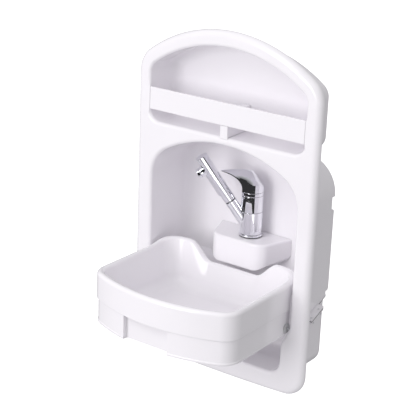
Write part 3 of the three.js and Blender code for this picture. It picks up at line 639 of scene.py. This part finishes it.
def front_panel():
    outer = panel_outline()
    roll = FLANGE_DEPTH
    profile = [(-a, b) for a, b in quarter(roll, 12)][:-1] + [(0, roll - 0.6), (-0.6, roll)]
    panel = frontal(outer, profile)
    cut(panel, frontal(outer, [(g - 12, d) for g, d in rounded(FACE, 30, 4)]))
    join(panel, frontal(shelf_outline(), [(WALL, 1.0)] + fillet(1, SHELF_DEPTH + WALL, 12.0, WALL, 1.0)))
    join(panel, niche_outer())
    seam_floor = common(seam_slab(2, 5, TUB_SIDE, TUB_BACK), band(0, 300))
    join(panel, seam_floor, seam_slab(2, 5, SEAM_FLANGE, FLANGE_STOP))

    # The shelf's mouth is rounded above the bar and below it, and square beside it.
    shelf = shelf_outline()
    heights = shelf.points[:, 1]
    soft = 0.6 + 5.4 * smooth(heights, BAR_HIGH - 2, BAR_HIGH + 8)
    soft = soft + 6.0 * smooth(-heights, -BAR_LOW, -BAR_LOW + 8)
    rings = [(soft, -5.0)]
    for t in np.linspace(0, math.pi / 2, 9):
        rings.append((soft * (1 - math.sin(t)), soft * (1 - math.cos(t))))
    rings += fillet(0, SHELF_DEPTH, 16 + 7 * smooth(heights, SHELF_LOW + 20, SHELF_LOW + 70), 0, 1.5)
    cut(panel, frontal(shelf, rings))

    mouth = [(7.0, -5.0)] + quarter(7, 9)
    cutter = frontal(niche_outline(), mouth + fillet(0, NICHE_DEPTH, niche_round(), 0, NICHE_DRAFT))
    cut(panel, common(cutter, niche_side(0, 10)))

    join(panel, ledge(0, NICHE_DEPTH + 1))
    cut(panel, ledge(4, NICHE_DEPTH + 30))
    cut(panel, rod((TAP[0], TAP[1], 230), (TAP[0], TAP[1], 262), 17.3))

    rib = soft_box((-7.5, 0.6, SHELF_LOW - 1), (7.5, SHELF_DEPTH + 1, 507), 3.5)
    cut(rib, soft_box((-20, -4, BAR_LOW - GAP), (20, 5 + GAP, 600), 0.5))
    join(panel, rib, soft_box((-8, 0, SHELF_LOW - 2), (8, 4, BAR_LOW - 0.6), 0.9))
    for side in (-1, 1):
        for y, z, radius in ((PIVOT[1], PIVOT[2], 2.9), (11, 502, 2.3)):
            cut(panel, rod((side * 150, y, z), (side * 180, y, z), radius, segments=20))
    return place(panel, "front_panel_shell", "housing", "white_abs", ["front_panel"])


def shelf_bar():
    side = SHELF_SIDE - 0.4
    bar = soft_box((-side, 0, BAR_LOW), (side, 5, BAR_HIGH), 1.2)
    for end in (-1, 1):
        x0, x1 = sorted((end * side, end * (side - 5)))
        join(bar, soft_box((x0, 4, 487), (x1, 17, 518), 1))
        cut(bar, rod((end * 150, 11, 502), (end * 180, 11, 502), 2.3, segments=20))
    return place(bar, "shelf_bar_moulding", "housing", "white_abs", ["shelf_bar"])


# ---- The tub behind the panel ----


def sump_box():
    side, corner, low, skin_depth = TUB_SIDE, 25.0, 30.0, 3.0
    half = line((0, low), (side - corner, low), (0, -1), 6)
    half += arc((side - corner, low + corner), corner, -90, 0, 14)
    half += line((side, low + corner), (side, 200), (1, 0), 4)
    half += line((side, 200), (0, 200), (0, 1), 4)
    outline = mirrored(half, (0, 200))
    top = [(0, seam_height(0)), (200, seam_height(200)), (200, 300), (0, 300)]
    tub = cut(frontal(outline, rounded(48, TUB_BACK, 2, TUB_ROUND)), prism(top, -250, 250))
    join(tub, seam_slab(-3, 0, SEAM_FLANGE, FLANGE_STOP))
    hollow = rounded(48 + skin_depth, TUB_BACK - skin_depth, 0, TUB_ROUND - skin_depth, -skin_depth)
    cut(tub, frontal(outline, hollow))
    cut(tub, frontal(niche_outline(), [(WALL + GAP, -30), (WALL + GAP, 52)]))
    x, z = 0.0, 58.0
    cut(tub, rod((x, 80, z), (x, 140, z), 9.3))
    for end in (-1, 1):
        for y in (58, 82):
            z = seam_height(y)
            cut(tub, rod((end * 171.8, y + 3, z - 9), (end * 171.8, y - 2, z + 4), 2.0, segments=16))
    return place(tub, "sump_tub", "housing", "white_abs", ["sump_box"], bevel=0.5)


# ---- The basin ----

BASIN_SIDE = 154.0
BASIN_FRONT = -207.0
BASIN_BACK = 58.0
RIM_TOP = 220.0
EAR_TOP = 228.0
LIP = 195.0
SEAM = 169.5
BASIN_LOW = 122.0
BASIN_FLOOR = 138.0
RIM_WIDTH = 14.0
GRIP_LEFT, GRIP_RIGHT = -58.0, 40.0


def basin_outline():
    corner, rear, big = 38.0, 46.0, 320.0
    centre = BASIN_FRONT + big
    x = BASIN_SIDE - corner
    y = centre - math.sqrt((big - corner) ** 2 - x**2)
    turn = math.degrees(math.atan2(y - centre, x))
    half = arc((0, centre), big, -90, turn, 22)
    half += arc((x, y), corner, turn, 0, 16)
    half += line((BASIN_SIDE, y), (BASIN_SIDE, -12), (1, 0), 10)
    half += line((BASIN_SIDE, -12), (BASIN_SIDE, BASIN_BACK - rear), (1, 0), 12)
    half += arc((BASIN_SIDE - rear, BASIN_BACK - rear), rear, 0, 90, 20)
    half += line((BASIN_SIDE - rear, BASIN_BACK), (0, BASIN_BACK), (0, 1), 44)
    return mirrored(half, (0, BASIN_BACK))


def smooth(value, start, end):
    t = np.clip((np.asarray(value, float) - start) / (end - start), 0, 1)
    return t * t * (3 - 2 * t)


def basin_bowl():
    outline = basin_outline()
    x, y = outline.points[:, 0], outline.points[:, 1]
    top = RIM_TOP + (EAR_TOP - RIM_TOP) * smooth(y, -14, 44)
    lip = np.where(y > BASIN_BACK - 2, 1 - smooth(np.abs(x), 50, 98), 0)
    top = top - (EAR_TOP - LIP) * lip
    foot = SEAM + (top - 26 - SEAM) * smooth(y, 4, 8)
    middle = np.array([0, -70])

    def ring(inset, height, scale=1.0):
        flat = middle + (outline.grown(-inset) - middle) * np.reshape(scale, (-1, 1))
        return np.column_stack([flat, np.broadcast_to(height, len(flat))])

    outer_round, inner_round, lean, curve = 6.5, 7.0, 0.10, 26.0
    rings = []
    for t in np.linspace(math.pi / 2, 0, 12):
        scale = 1 - lean - curve * (1 - math.cos(t)) / 120
        rings.append(ring(RIM_WIDTH, BASIN_FLOOR + curve * (1 - math.sin(t)), scale))
    for share in (0.25, 0.5, 0.75):
        height = BASIN_FLOOR + curve + (top - inner_round - BASIN_FLOOR - curve) * share
        rings.append(ring(RIM_WIDTH, height, 1 - lean * (1 - share)))
    for a, b in quarter(inner_round, 7)[::-1]:
        rings.append(ring(RIM_WIDTH - a, top - b))
    for a, b in quarter(outer_round, 7):
        rings.append(ring(a, top - b))
    rings.append(ring(0, foot + 0.5))
    rings.append(ring(0.5, foot))
    rings.append(ring(3, foot))
    rings.append(ring(3, top - 10))
    rings.append(ring(RIM_WIDTH - 3, top - 10))
    for share in (0.6, 0.3):
        height = BASIN_FLOOR + curve + (top - inner_round - BASIN_FLOOR - curve) * share
        rings.append(ring(RIM_WIDTH - 3, height - 3, 1 - lean * (1 - share)))
    for t in np.linspace(0, math.pi / 2, 8):
        scale = 1 - lean - curve * (1 - math.cos(t)) / 120
        rings.append(ring(RIM_WIDTH - 3, BASIN_FLOOR - 3 + curve * (1 - math.sin(t)), scale))
    bowl = skin(rings)
    for side in (-1, 1):
        join(bowl, rod((side * 128, PIVOT[1], PIVOT[2]), (side * 148.6, PIVOT[1], PIVOT[2]), 12, 1))
        x0, x1 = sorted((side * 134.5, side * 148.6))
        join(bowl, soft_box((x0, PIVOT[1] - 10, PIVOT[2]), (x1, PIVOT[1] + 10, 186), 1.5))
        cut(bowl, rod((side * 130.6, PIVOT[1], PIVOT[2]), (side * 170, PIVOT[1], PIVOT[2]), 6.3))
    for x, y in ((-80, -45), (80, -45), (-62, -120), (62, -120)):
        join(bowl, rod((x, y, BASIN_LOW + 4.3), (x, y, BASIN_FLOOR - 1), 5, 0.5, 24))
        cut(bowl, rod((x, y, BASIN_LOW), (x, y, BASIN_LOW + 13), 2.3, segments=16))
    return place(bowl, "basin_bowl_moulding", "bowl", "white_abs", ["basin_bowl"])


def basin_cover():
    outline = basin_outline()
    inset = 3.0
    high = SEAM - 0.5
    profile = [(-inset - 2.2, BASIN_LOW), (-inset + 0.2, BASIN_LOW + 0.5)]
    profile += [(-inset + 1.2, BASIN_LOW + 2), (-inset + 1.2, BASIN_LOW + 4.2)]
    profile += [(-inset + 0.3, BASIN_LOW + 5.2), (-inset, BASIN_LOW + 6), (-inset, high)]
    cover = level(outline, profile)
    cut(cover, soft_box((GRIP_LEFT, BASIN_FRONT - 40, 60), (GRIP_RIGHT, BASIN_FRONT + 18, 300), 3))
    inner = level(outline, [(-inset - 3, BASIN_LOW + 4), (-inset - 3, 300)])
    cut(inner, soft_box((GRIP_LEFT - 3, BASIN_FRONT - 40, 60), (GRIP_RIGHT + 3, BASIN_FRONT + 21, 320), 4))
    cut(cover, inner)
    cut(cover, prism([(4, 0), (300, 0), (300, 300), (4, 300)], -300, 300))
    cut(cover, prism([(-6, 0), (300, 0), (300, 300), (-6, 300)], -149, 149))
    cut(cover, prism([(-5, 0), (300, 0), (300, 145), (-5, 145)], -300, 300))
    for x, y in ((-80, -45), (80, -45), (-62, -120), (62, -120)):
        cut(cover, rod((x, y, 100), (x, y, 150), 2.3, segments=16))
        cut(cover, rod((x, y, 100), (x, y, BASIN_LOW + 2.6), 4.6, segments=24))
    return place(cover, "basin_cover_moulding", "bowl", "white_abs", ["basin_cover"], bevel=0.7)


# ---- The tap ----

SLIDE = np.array(JOINTS["handset_pull"]["axis"])
SPOUT_ANGLE = math.asin(SLIDE[2])
BEARING = math.atan2(-SLIDE[0], -SLIDE[1])
SPOUT_REACH = 20.9
SPOUT_HEIGHT = 287.2
SPOUT_JOINT = 35.0
SPOUT_LENGTH = 137.0
AERATOR = SPOUT_LENGTH - 26
SLEEVE_TOP = 297.2
BODY_TOP = 329.2
COLLAR_TOP = 336.3


def tap_point(out, height, across=0.0):
    """A place in the upright plane of spout and lever: out from the tap's axis, and across it."""
    x = TAP[0] - math.sin(BEARING) * out + math.cos(BEARING) * across
    y = TAP[1] - math.cos(BEARING) * out - math.sin(BEARING) * across
    return (x, y, height)


def spout_point(distance, below=0.0, across=0.0):
    out = SPOUT_REACH + distance * math.cos(SPOUT_ANGLE) + below * math.sin(SPOUT_ANGLE)
    height = SPOUT_HEIGHT + distance * math.sin(SPOUT_ANGLE) - below * math.cos(SPOUT_ANGLE)
    return tap_point(out, height, across)


def lathe(profile, segments=96):
    """A ring turned about the tap's axis, from a closed (radius, height) profile."""
    count = len(profile)
    vertices = []
    for angle in np.linspace(0, 2 * math.pi, segments, endpoint=False):
        vertices += [(TAP[0] + r * math.cos(angle), TAP[1] + r * math.sin(angle), z) for r, z in profile]
    faces = []
    for i in range(segments):
        a, b = i * count, ((i + 1) % segments) * count
        faces += [(a + k, a + (k + 1) % count, b + (k + 1) % count, b + k) for k in range(count)]
    return mesh_object("turned", vertices, faces)


# The fixed body and the ring above it share one radius. The spout's sleeve turns between them.
TAP_RADIUS, STEM_BORE = 21.1, 15.5
SLEEVE_LOW, SLEEVE_RADIUS, SLEEVE_BORE = 254.5, 21.3, 17.8
BRANCH_RADIUS, BRANCH_BORE = 10.9, 8.7
HANDSET_RADIUS, HANDSET_TIP_RADIUS = 11.0, 11.8
SOCKET_RADIUS, NOZZLE_RADIUS = 10.2, 10.0
HOSE_RADIUS = 5


def tap_body():
    profile = [(13.5, 226), (15.8, 226), (15.8, 250.2)]
    profile += [(21.9, 250.2), (22.5, 250.8), (22.5, 252.6), (22.2, 253.3)]
    foot = SLEEVE_TOP + 0.5
    profile += [(21.6, 254.0), (17.5, 254.0), (17.5, foot)]
    profile += [*soft_corner(TAP_RADIUS, foot, 1), *soft_corner(TAP_RADIUS, BODY_TOP, -1)]
    profile += [(14.5, BODY_TOP), (14.5, 299), (13.5, 299)]
    return place(lathe(profile), "tap_body_casting", "housing", "chrome", ["tap_body"], sharp=50)


def soft_corner(radius, height, upward, soft=0.7):
    """The profile points of the small rounding at a turned band's end, inwards or back out again."""
    turns = np.linspace(0, math.pi / 2, 4)
    points = [(radius - soft + soft * math.sin(t), height + upward * soft * (1 - math.cos(t))) for t in turns]
    return points if upward > 0 else points[::-1]


def tap_collar():
    low = BODY_TOP + 0.35
    outside = [*soft_corner(TAP_RADIUS, low, 1), *soft_corner(TAP_RADIUS, COLLAR_TOP, -1)]
    profile = [(STEM_BORE, low), *outside, (STEM_BORE, COLLAR_TOP)]
    return place(lathe(profile), "tap_collar_ring", "housing", "chrome", ["tap_collar"], sharp=50)


def spout():
    outside = [*soft_corner(SLEEVE_RADIUS, SLEEVE_LOW, 1), *soft_corner(SLEEVE_RADIUS, SLEEVE_TOP, -1)]
    profile = [(SLEEVE_BORE, SLEEVE_LOW), *outside, (SLEEVE_BORE, SLEEVE_TOP)]
    sleeve = lathe(profile)
    tube = rod(spout_point(-16), spout_point(SPOUT_JOINT - 0.3), BRANCH_RADIUS, 0.4, 64)
    cut(tube, rod((TAP[0], TAP[1], 200), (TAP[0], TAP[1], 400), 18.6, segments=96))
    cut(tube, rod((TAP[0], TAP[1], SLEEVE_TOP - 0.1), (TAP[0], TAP[1], 400), 21.4, segments=96))
    join(sleeve, tube)
    cut(sleeve, rod(spout_point(-24), spout_point(SPOUT_JOINT + 5), BRANCH_BORE, segments=48))
    return place(sleeve, "spout_casting", "spout", "chrome", ["spout"], sharp=40)


def spout_ring():
    ring = rod(spout_point(SPOUT_JOINT - 0.2), spout_point(SPOUT_JOINT + 1.7), 10.1, 0.3, 64)
    cut(ring, rod(spout_point(SPOUT_JOINT - 5), spout_point(SPOUT_JOINT + 5), BRANCH_BORE, segments=48))
    return place(ring, "spout_joint_ring", "spout", "black_rubber", ["spout_ring"])


def handset():
    start = SPOUT_JOINT + 1.9
    body = rod(spout_point(start), spout_point(SPOUT_LENGTH), HANDSET_RADIUS, 0.7, 64, HANDSET_TIP_RADIUS)
    join(body, rod(spout_point(start - 22), spout_point(start + 2), 8.4, 0.5, 48))
    join(body, rod(spout_point(AERATOR), spout_point(AERATOR, 16.4), SOCKET_RADIUS, 0.5, 48))
    join(body, rod(spout_point(AERATOR), spout_point(AERATOR, 17.4), 8.2, 0.0, 48))
    rail_from, rail_to = start + 15, AERATOR + 1
    loop = []
    for t in np.linspace(-1, 1, 15):
        loop.append((5.2 * t, 13.5 - 3.6 * t * t))
    section = [(5.2, 4.0)] + loop[::-1] + [(-5.2, 4.0)]
    rings = []
    for distance, size in ((rail_from, 0.55), (rail_from + 2, 0.95), (rail_from + 4, 1.0), (rail_to, 1.0)):
        rings.append(np.array([spout_point(distance, 4 + (b - 4) * size, a) for a, b in section]))
    join(body, skin(rings))
    cut(body, rod(spout_point(start - 30), spout_point(AERATOR + 2), HOSE_RADIUS, segments=24))
    cut(body, rod(spout_point(AERATOR), spout_point(AERATOR, 40), HOSE_RADIUS, segments=24))
    cut(body, rod(spout_point(AERATOR, 14), spout_point(AERATOR, 40), 7.9, segments=48))
    return place(body, "handset_shell", "handset", "chrome", ["handset"], sharp=38)


def aerator():
    nozzle = rod(spout_point(AERATOR, 17.8), spout_point(AERATOR, 23.4), NOZZLE_RADIUS, 0.8, 48)
    join(nozzle, rod(spout_point(AERATOR, 14.3), spout_point(AERATOR, 18.5), 7.6, 0.2, 48))
    cut(nozzle, rod(spout_point(AERATOR, 10), spout_point(AERATOR, 22.6), 5.4, segments=32))
    for ring_out in (0.0, 2.2, 4.0):
        holes = 1 if ring_out == 0 else int(ring_out * 3.2)
        for i in range(holes):
            turn = 2 * math.pi * i / holes
            along_by, across = ring_out * math.cos(turn), ring_out * math.sin(turn)
            start = spout_point(AERATOR + along_by, 20, across)
            end = spout_point(AERATOR + along_by, 30, across)
            cut(nozzle, rod(start, end, 0.55, segments=10))
    return place(nozzle, "aerator_nozzle", "handset", "chrome", ["aerator"], sharp=38)


LEVER_TAIL, LEVER_TIP = -21.5, 60.2
LEVER_HUB = 21.2


def sweep(*pieces):
    """Points along chained curves, each piece given by its four control points."""
    points = [point for piece in pieces for point, normal in bezier(*piece, 24)]
    return np.array(points + [pieces[-1][-1]])


def lever_lines():
    """The lever's lines by distance from the tap's axis: crown, flank, half width and underside."""
    top, shoulder, edge = 375.8, 361.5, 374.4
    crown = sweep(((LEVER_TAIL, 347.5), (-12, 354), (-6, top - 5), (4, top)),
                  ((4, top), (14, top + 3), (36, top + 2.4), (LEVER_TIP, edge + 0.5)))
    flank = sweep(((LEVER_TAIL, 347.2), (-8, 351.3), (12, 355.5), (25, shoulder)),
                  ((25, shoulder), (35, shoulder + 5.3), (46, edge - 0.4), (LEVER_TIP, edge)))
    hub = LEVER_HUB + 0.1
    reach = sweep(((LEVER_TAIL, hub), (-14, hub), (-7, hub), (0, hub)),
                  ((0, hub), (14, 16), (34, 10.5), (LEVER_TIP, 4.6)))
    under = sweep(((LEVER_HUB, 342), (LEVER_HUB, 358), (36, 368.5), (LEVER_TIP, edge - 0.5)))
    return crown, flank, reach, under


def lever():
    """A round cap whose crown runs out into a thin rising blade."""
    low = COLLAR_TOP + 0.8
    stations = np.linspace(LEVER_TAIL, LEVER_TIP, 64)
    *shape_lines, underside = lever_lines()
    crown, flank, reach = (np.interp(stations, points[:, 0], points[:, 1]) for points in shape_lines)
    rings = []
    for out, top, side, half in zip(stations, crown, flank, reach):
        section = [(-1.9 * half, 300.0)]
        for share in np.linspace(-1.9, 1.9, 39):
            drop = min(abs(share), 1.0) ** 1.9 + max(abs(share) - 1.0, 0) * 1.9
            section.append((share * half, max(top - (top - side) * drop, 300.5)))
        section.append((1.9 * half, 300.0))
        rings.append(np.array([(out, across, height) for across, height in section]))
    roof = skin(rings)
    plan_side = list(zip(stations[stations > -2], reach[stations > -2]))
    plan = [(-2.0, 21.0)] + plan_side + [(a, -b) for a, b in plan_side[::-1]] + [(-2.0, -21.0)]
    blade = prism(plan, low, 400, "Z")
    beyond = LEVER_TIP + 0.2
    under = [(beyond, low - 5), (beyond, underside[-1][1]), *underside[::-1], (LEVER_HUB, low - 5)]
    cut(blade, prism(under, -40, 40, "Y"))
    cap = rod((0, 0, low), (0, 0, 390), LEVER_HUB, 0.0, 128)
    whole = common(join(cap, blade), roof)
    cut(whole, rod((0, 0, 320), (0, 0, 350), STEM_BORE, 0, 48, 11))
    turn = Matrix.Rotation(math.atan2(-math.cos(BEARING), -math.sin(BEARING)), 4, "Z")
    whole.data.transform(Matrix.Translation((TAP[0], TAP[1], 0)) @ turn)
    return place(whole, "lever_casting", "lever", "chrome", ["lever"], sharp=42, bevel=0.7)


# ---- Small hardware keeps its CAD solid and takes its own finish ----


EDGE_WIDTH = 0.25
SHARP_TURN = math.radians(40)


def finish_cad_nodes():
    slots = {row["node"]: row["material_slot"] for row in frame["record"]["subparts"]}
    for name, node in frame["nodes"].items():
        if node.hide_render:
            continue
        node.data.materials.clear()
        node.data.materials.append(MATERIALS[slots[name]]())
        node.data.set_sharp_from_angle(angle=SHARP_TURN)
        edge = node.modifiers.new("edge", "BEVEL")
        edge.width = EDGE_WIDTH * MM
        edge.segments = 2
        edge.limit_method = "ANGLE"
        edge.angle_limit = SHARP_TURN


# ---- Studio ----

CAMERA_AZIMUTH, CAMERA_ELEVATION, CAMERA_ROLL = (math.radians(a) for a in (34.967, 19.774, 2.3485))
CAMERA_AIM = np.array([-64.1, 60.0, 292.6])
CAMERA_DISTANCE = 2406.7
CAMERA_LENS = 110.22

WORLD_DARK, WORLD_BRIGHT = 0.42, 0.74
# What a mirror sees around it: a height, from -1 straight below to 1 straight above, and a brightness.
MIRROR_BANDS = [(-0.8, 0.6), (-0.62, 0.02), (0.5, 0.012), (0.7, 0.7)]


def camera():
    a, e, roll = CAMERA_AZIMUTH, CAMERA_ELEVATION, CAMERA_ROLL
    right = Vector((math.cos(a), math.sin(a), 0))
    back = Vector((math.sin(a) * math.cos(e), -math.cos(a) * math.cos(e), math.sin(e)))
    up = back.cross(right)
    image_right = right * math.cos(roll) + up * math.sin(roll)
    image_up = up * math.cos(roll) - right * math.sin(roll)
    data = bpy.data.cameras.new("camera")
    data.lens = CAMERA_LENS
    data.sensor_width = 36
    data.clip_end = 50
    made = bpy.data.objects.new("camera", data)
    bpy.context.scene.collection.objects.link(made)
    turn = Matrix((image_right, image_up, back)).transposed().to_4x4()
    where = (Vector(CAMERA_AIM) + back * CAMERA_DISTANCE + Vector(SHIFT)) * MM
    made.matrix_world = Matrix.Translation(where) @ turn
    bpy.context.scene.camera = made


def area_light(name, where, aim, size, power, color=(1, 1, 1)):
    data = bpy.data.lights.new(name, "AREA")
    data.shape = "RECTANGLE"
    data.size, data.size_y = size
    data.energy = power
    data.color = color
    made = bpy.data.objects.new(name, data)
    made.location = where
    made.rotation_euler = (Vector(aim) - Vector(where)).to_track_quat("-Z", "Y").to_euler()
    bpy.context.scene.collection.objects.link(made)
    return made


def world_light():
    """Soft light that falls off to the right and behind.

    A mirror sees a dark room over a pale floor, the lens sees plain white.
    """
    world = bpy.data.worlds.new("studio")
    bpy.context.scene.world = world
    world.use_nodes = True
    nodes, links = world.node_tree.nodes, world.node_tree.links
    background = nodes["Background"]
    coordinates = nodes.new("ShaderNodeTexCoord").outputs["Generated"]

    along_light = nodes.new("ShaderNodeVectorMath")
    along_light.operation = "DOT_PRODUCT"
    along_light.inputs[1].default_value = Vector((-0.62, -0.5, 0.6)).normalized()
    links.new(coordinates, along_light.inputs[0])
    soft = nodes.new("ShaderNodeMapRange")
    soft.inputs["From Min"].default_value = -1
    soft.inputs["From Max"].default_value = 1
    soft.inputs["To Min"].default_value = WORLD_DARK
    soft.inputs["To Max"].default_value = WORLD_BRIGHT
    links.new(along_light.outputs["Value"], soft.inputs["Value"])

    parts = nodes.new("ShaderNodeSeparateXYZ")
    links.new(coordinates, parts.inputs[0])
    share = nodes.new("ShaderNodeMapRange")
    share.inputs["From Min"].default_value = -1
    links.new(parts.outputs["Z"], share.inputs["Value"])
    bands = nodes.new("ShaderNodeValToRGB")
    ramp = bands.color_ramp.elements
    ramp[0].position, ramp[0].color = 0, (0.5, 0.5, 0.53, 1)
    ramp[1].position, ramp[1].color = 1, (0.8, 0.8, 0.85, 1)
    for height, value in MIRROR_BANDS:
        stop = ramp.new((height + 1) / 2)
        stop.color = (value, value, value * 1.04, 1)
    links.new(share.outputs["Result"], bands.inputs["Fac"])

    rays = nodes.new("ShaderNodeLightPath")
    seen = nodes.new("ShaderNodeMix")
    seen.data_type = "RGBA"
    links.new(rays.outputs["Is Glossy Ray"], seen.inputs["Factor"])
    links.new(soft.outputs["Result"], seen.inputs["A"])
    links.new(bands.outputs["Color"], seen.inputs["B"])
    chosen = nodes.new("ShaderNodeMix")
    chosen.data_type = "RGBA"
    chosen.inputs["B"].default_value = (1, 1, 1, 1)
    links.new(rays.outputs["Is Camera Ray"], chosen.inputs["Factor"])
    links.new(seen.outputs["Result"], chosen.inputs["A"])
    links.new(chosen.outputs["Result"], background.inputs["Color"])


def tap_light():
    """A soft box that only spout and spray head see. Its reflection runs along them as a bright stripe."""
    axis = Vector(SLIDE).normalized()
    scene_camera = bpy.context.scene.camera
    middle = (Vector(spout_point(SPOUT_LENGTH / 2)) + Vector(SHIFT)) * MM
    view = (scene_camera.matrix_world.translation - middle).normalized()
    facing = (view - axis * view.dot(axis)).normalized()
    sideways = axis.cross(facing)

    def mirrored_view(degrees):
        normal = facing * math.cos(math.radians(degrees)) + sideways * math.sin(math.radians(degrees))
        return 2 * normal.dot(view) * normal - view

    light = area_light("tap_strip", middle + mirrored_view(-6) * 1.2, middle, (0.1, 0.1), 5)
    width = mirrored_view(5) - mirrored_view(-17)
    light.matrix_world = Matrix.Translation(light.location) @ stripe_frame(width, mirrored_view(-6))
    light.data.size = width.length * 1.2
    light.data.size_y = 0.9
    seen_by = bpy.data.collections.new("striped")
    for name in ("spout_casting", "handset_shell"):
        seen_by.objects.link(bpy.data.objects[name])
    light.light_linking.receiver_collection = seen_by


def stripe_frame(width, back):
    """A frame whose X axis is width and whose Z axis is back, made square."""
    across = (width - back * width.dot(back)).normalized()
    return Matrix((across, back.cross(across), back)).transposed().to_4x4()


def studio():
    floor = mesh_object("floor", [(-6, -6, 0), (6, -6, 0), (6, 6, 0), (-6, 6, 0)], [(0, 1, 2, 3)])
    floor.location.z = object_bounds()[0][2] - 0.12
    made, nodes, links, shader = new_material("pale_floor")
    shader.inputs["Base Color"].default_value = (0.5, 0.5, 0.51, 1)
    shader.inputs["Roughness"].default_value = 0.9
    shader.inputs["Emission Color"].default_value = (1, 1, 1, 1)
    rays = nodes.new("ShaderNodeLightPath")
    links.new(rays.outputs["Is Camera Ray"], shader.inputs["Emission Strength"])
    floor.data.materials.append(made)
    floor.visible_glossy = False
    floor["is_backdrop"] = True
    world_light()
    area_light("front", (-0.6, -2.9, 0.9), (0, 0, 0.3), (1.4, 1.4), 38, (1.0, 0.985, 1.0))
    area_light("top", (-0.3, -2.0, 2.3), (0, 0, 0.3), (0.8, 0.8), 10)
    tap_light()
    bpy.context.scene.view_settings.view_transform = "Standard"
    bpy.context.scene.view_settings.gamma = 1.25


front_panel()
shelf_bar()
sump_box()
basin_bowl()
basin_cover()
tap_body()
tap_collar()
spout()
spout_ring()
handset()
aerator()
lever()
finish_cad_nodes()
camera()
studio()
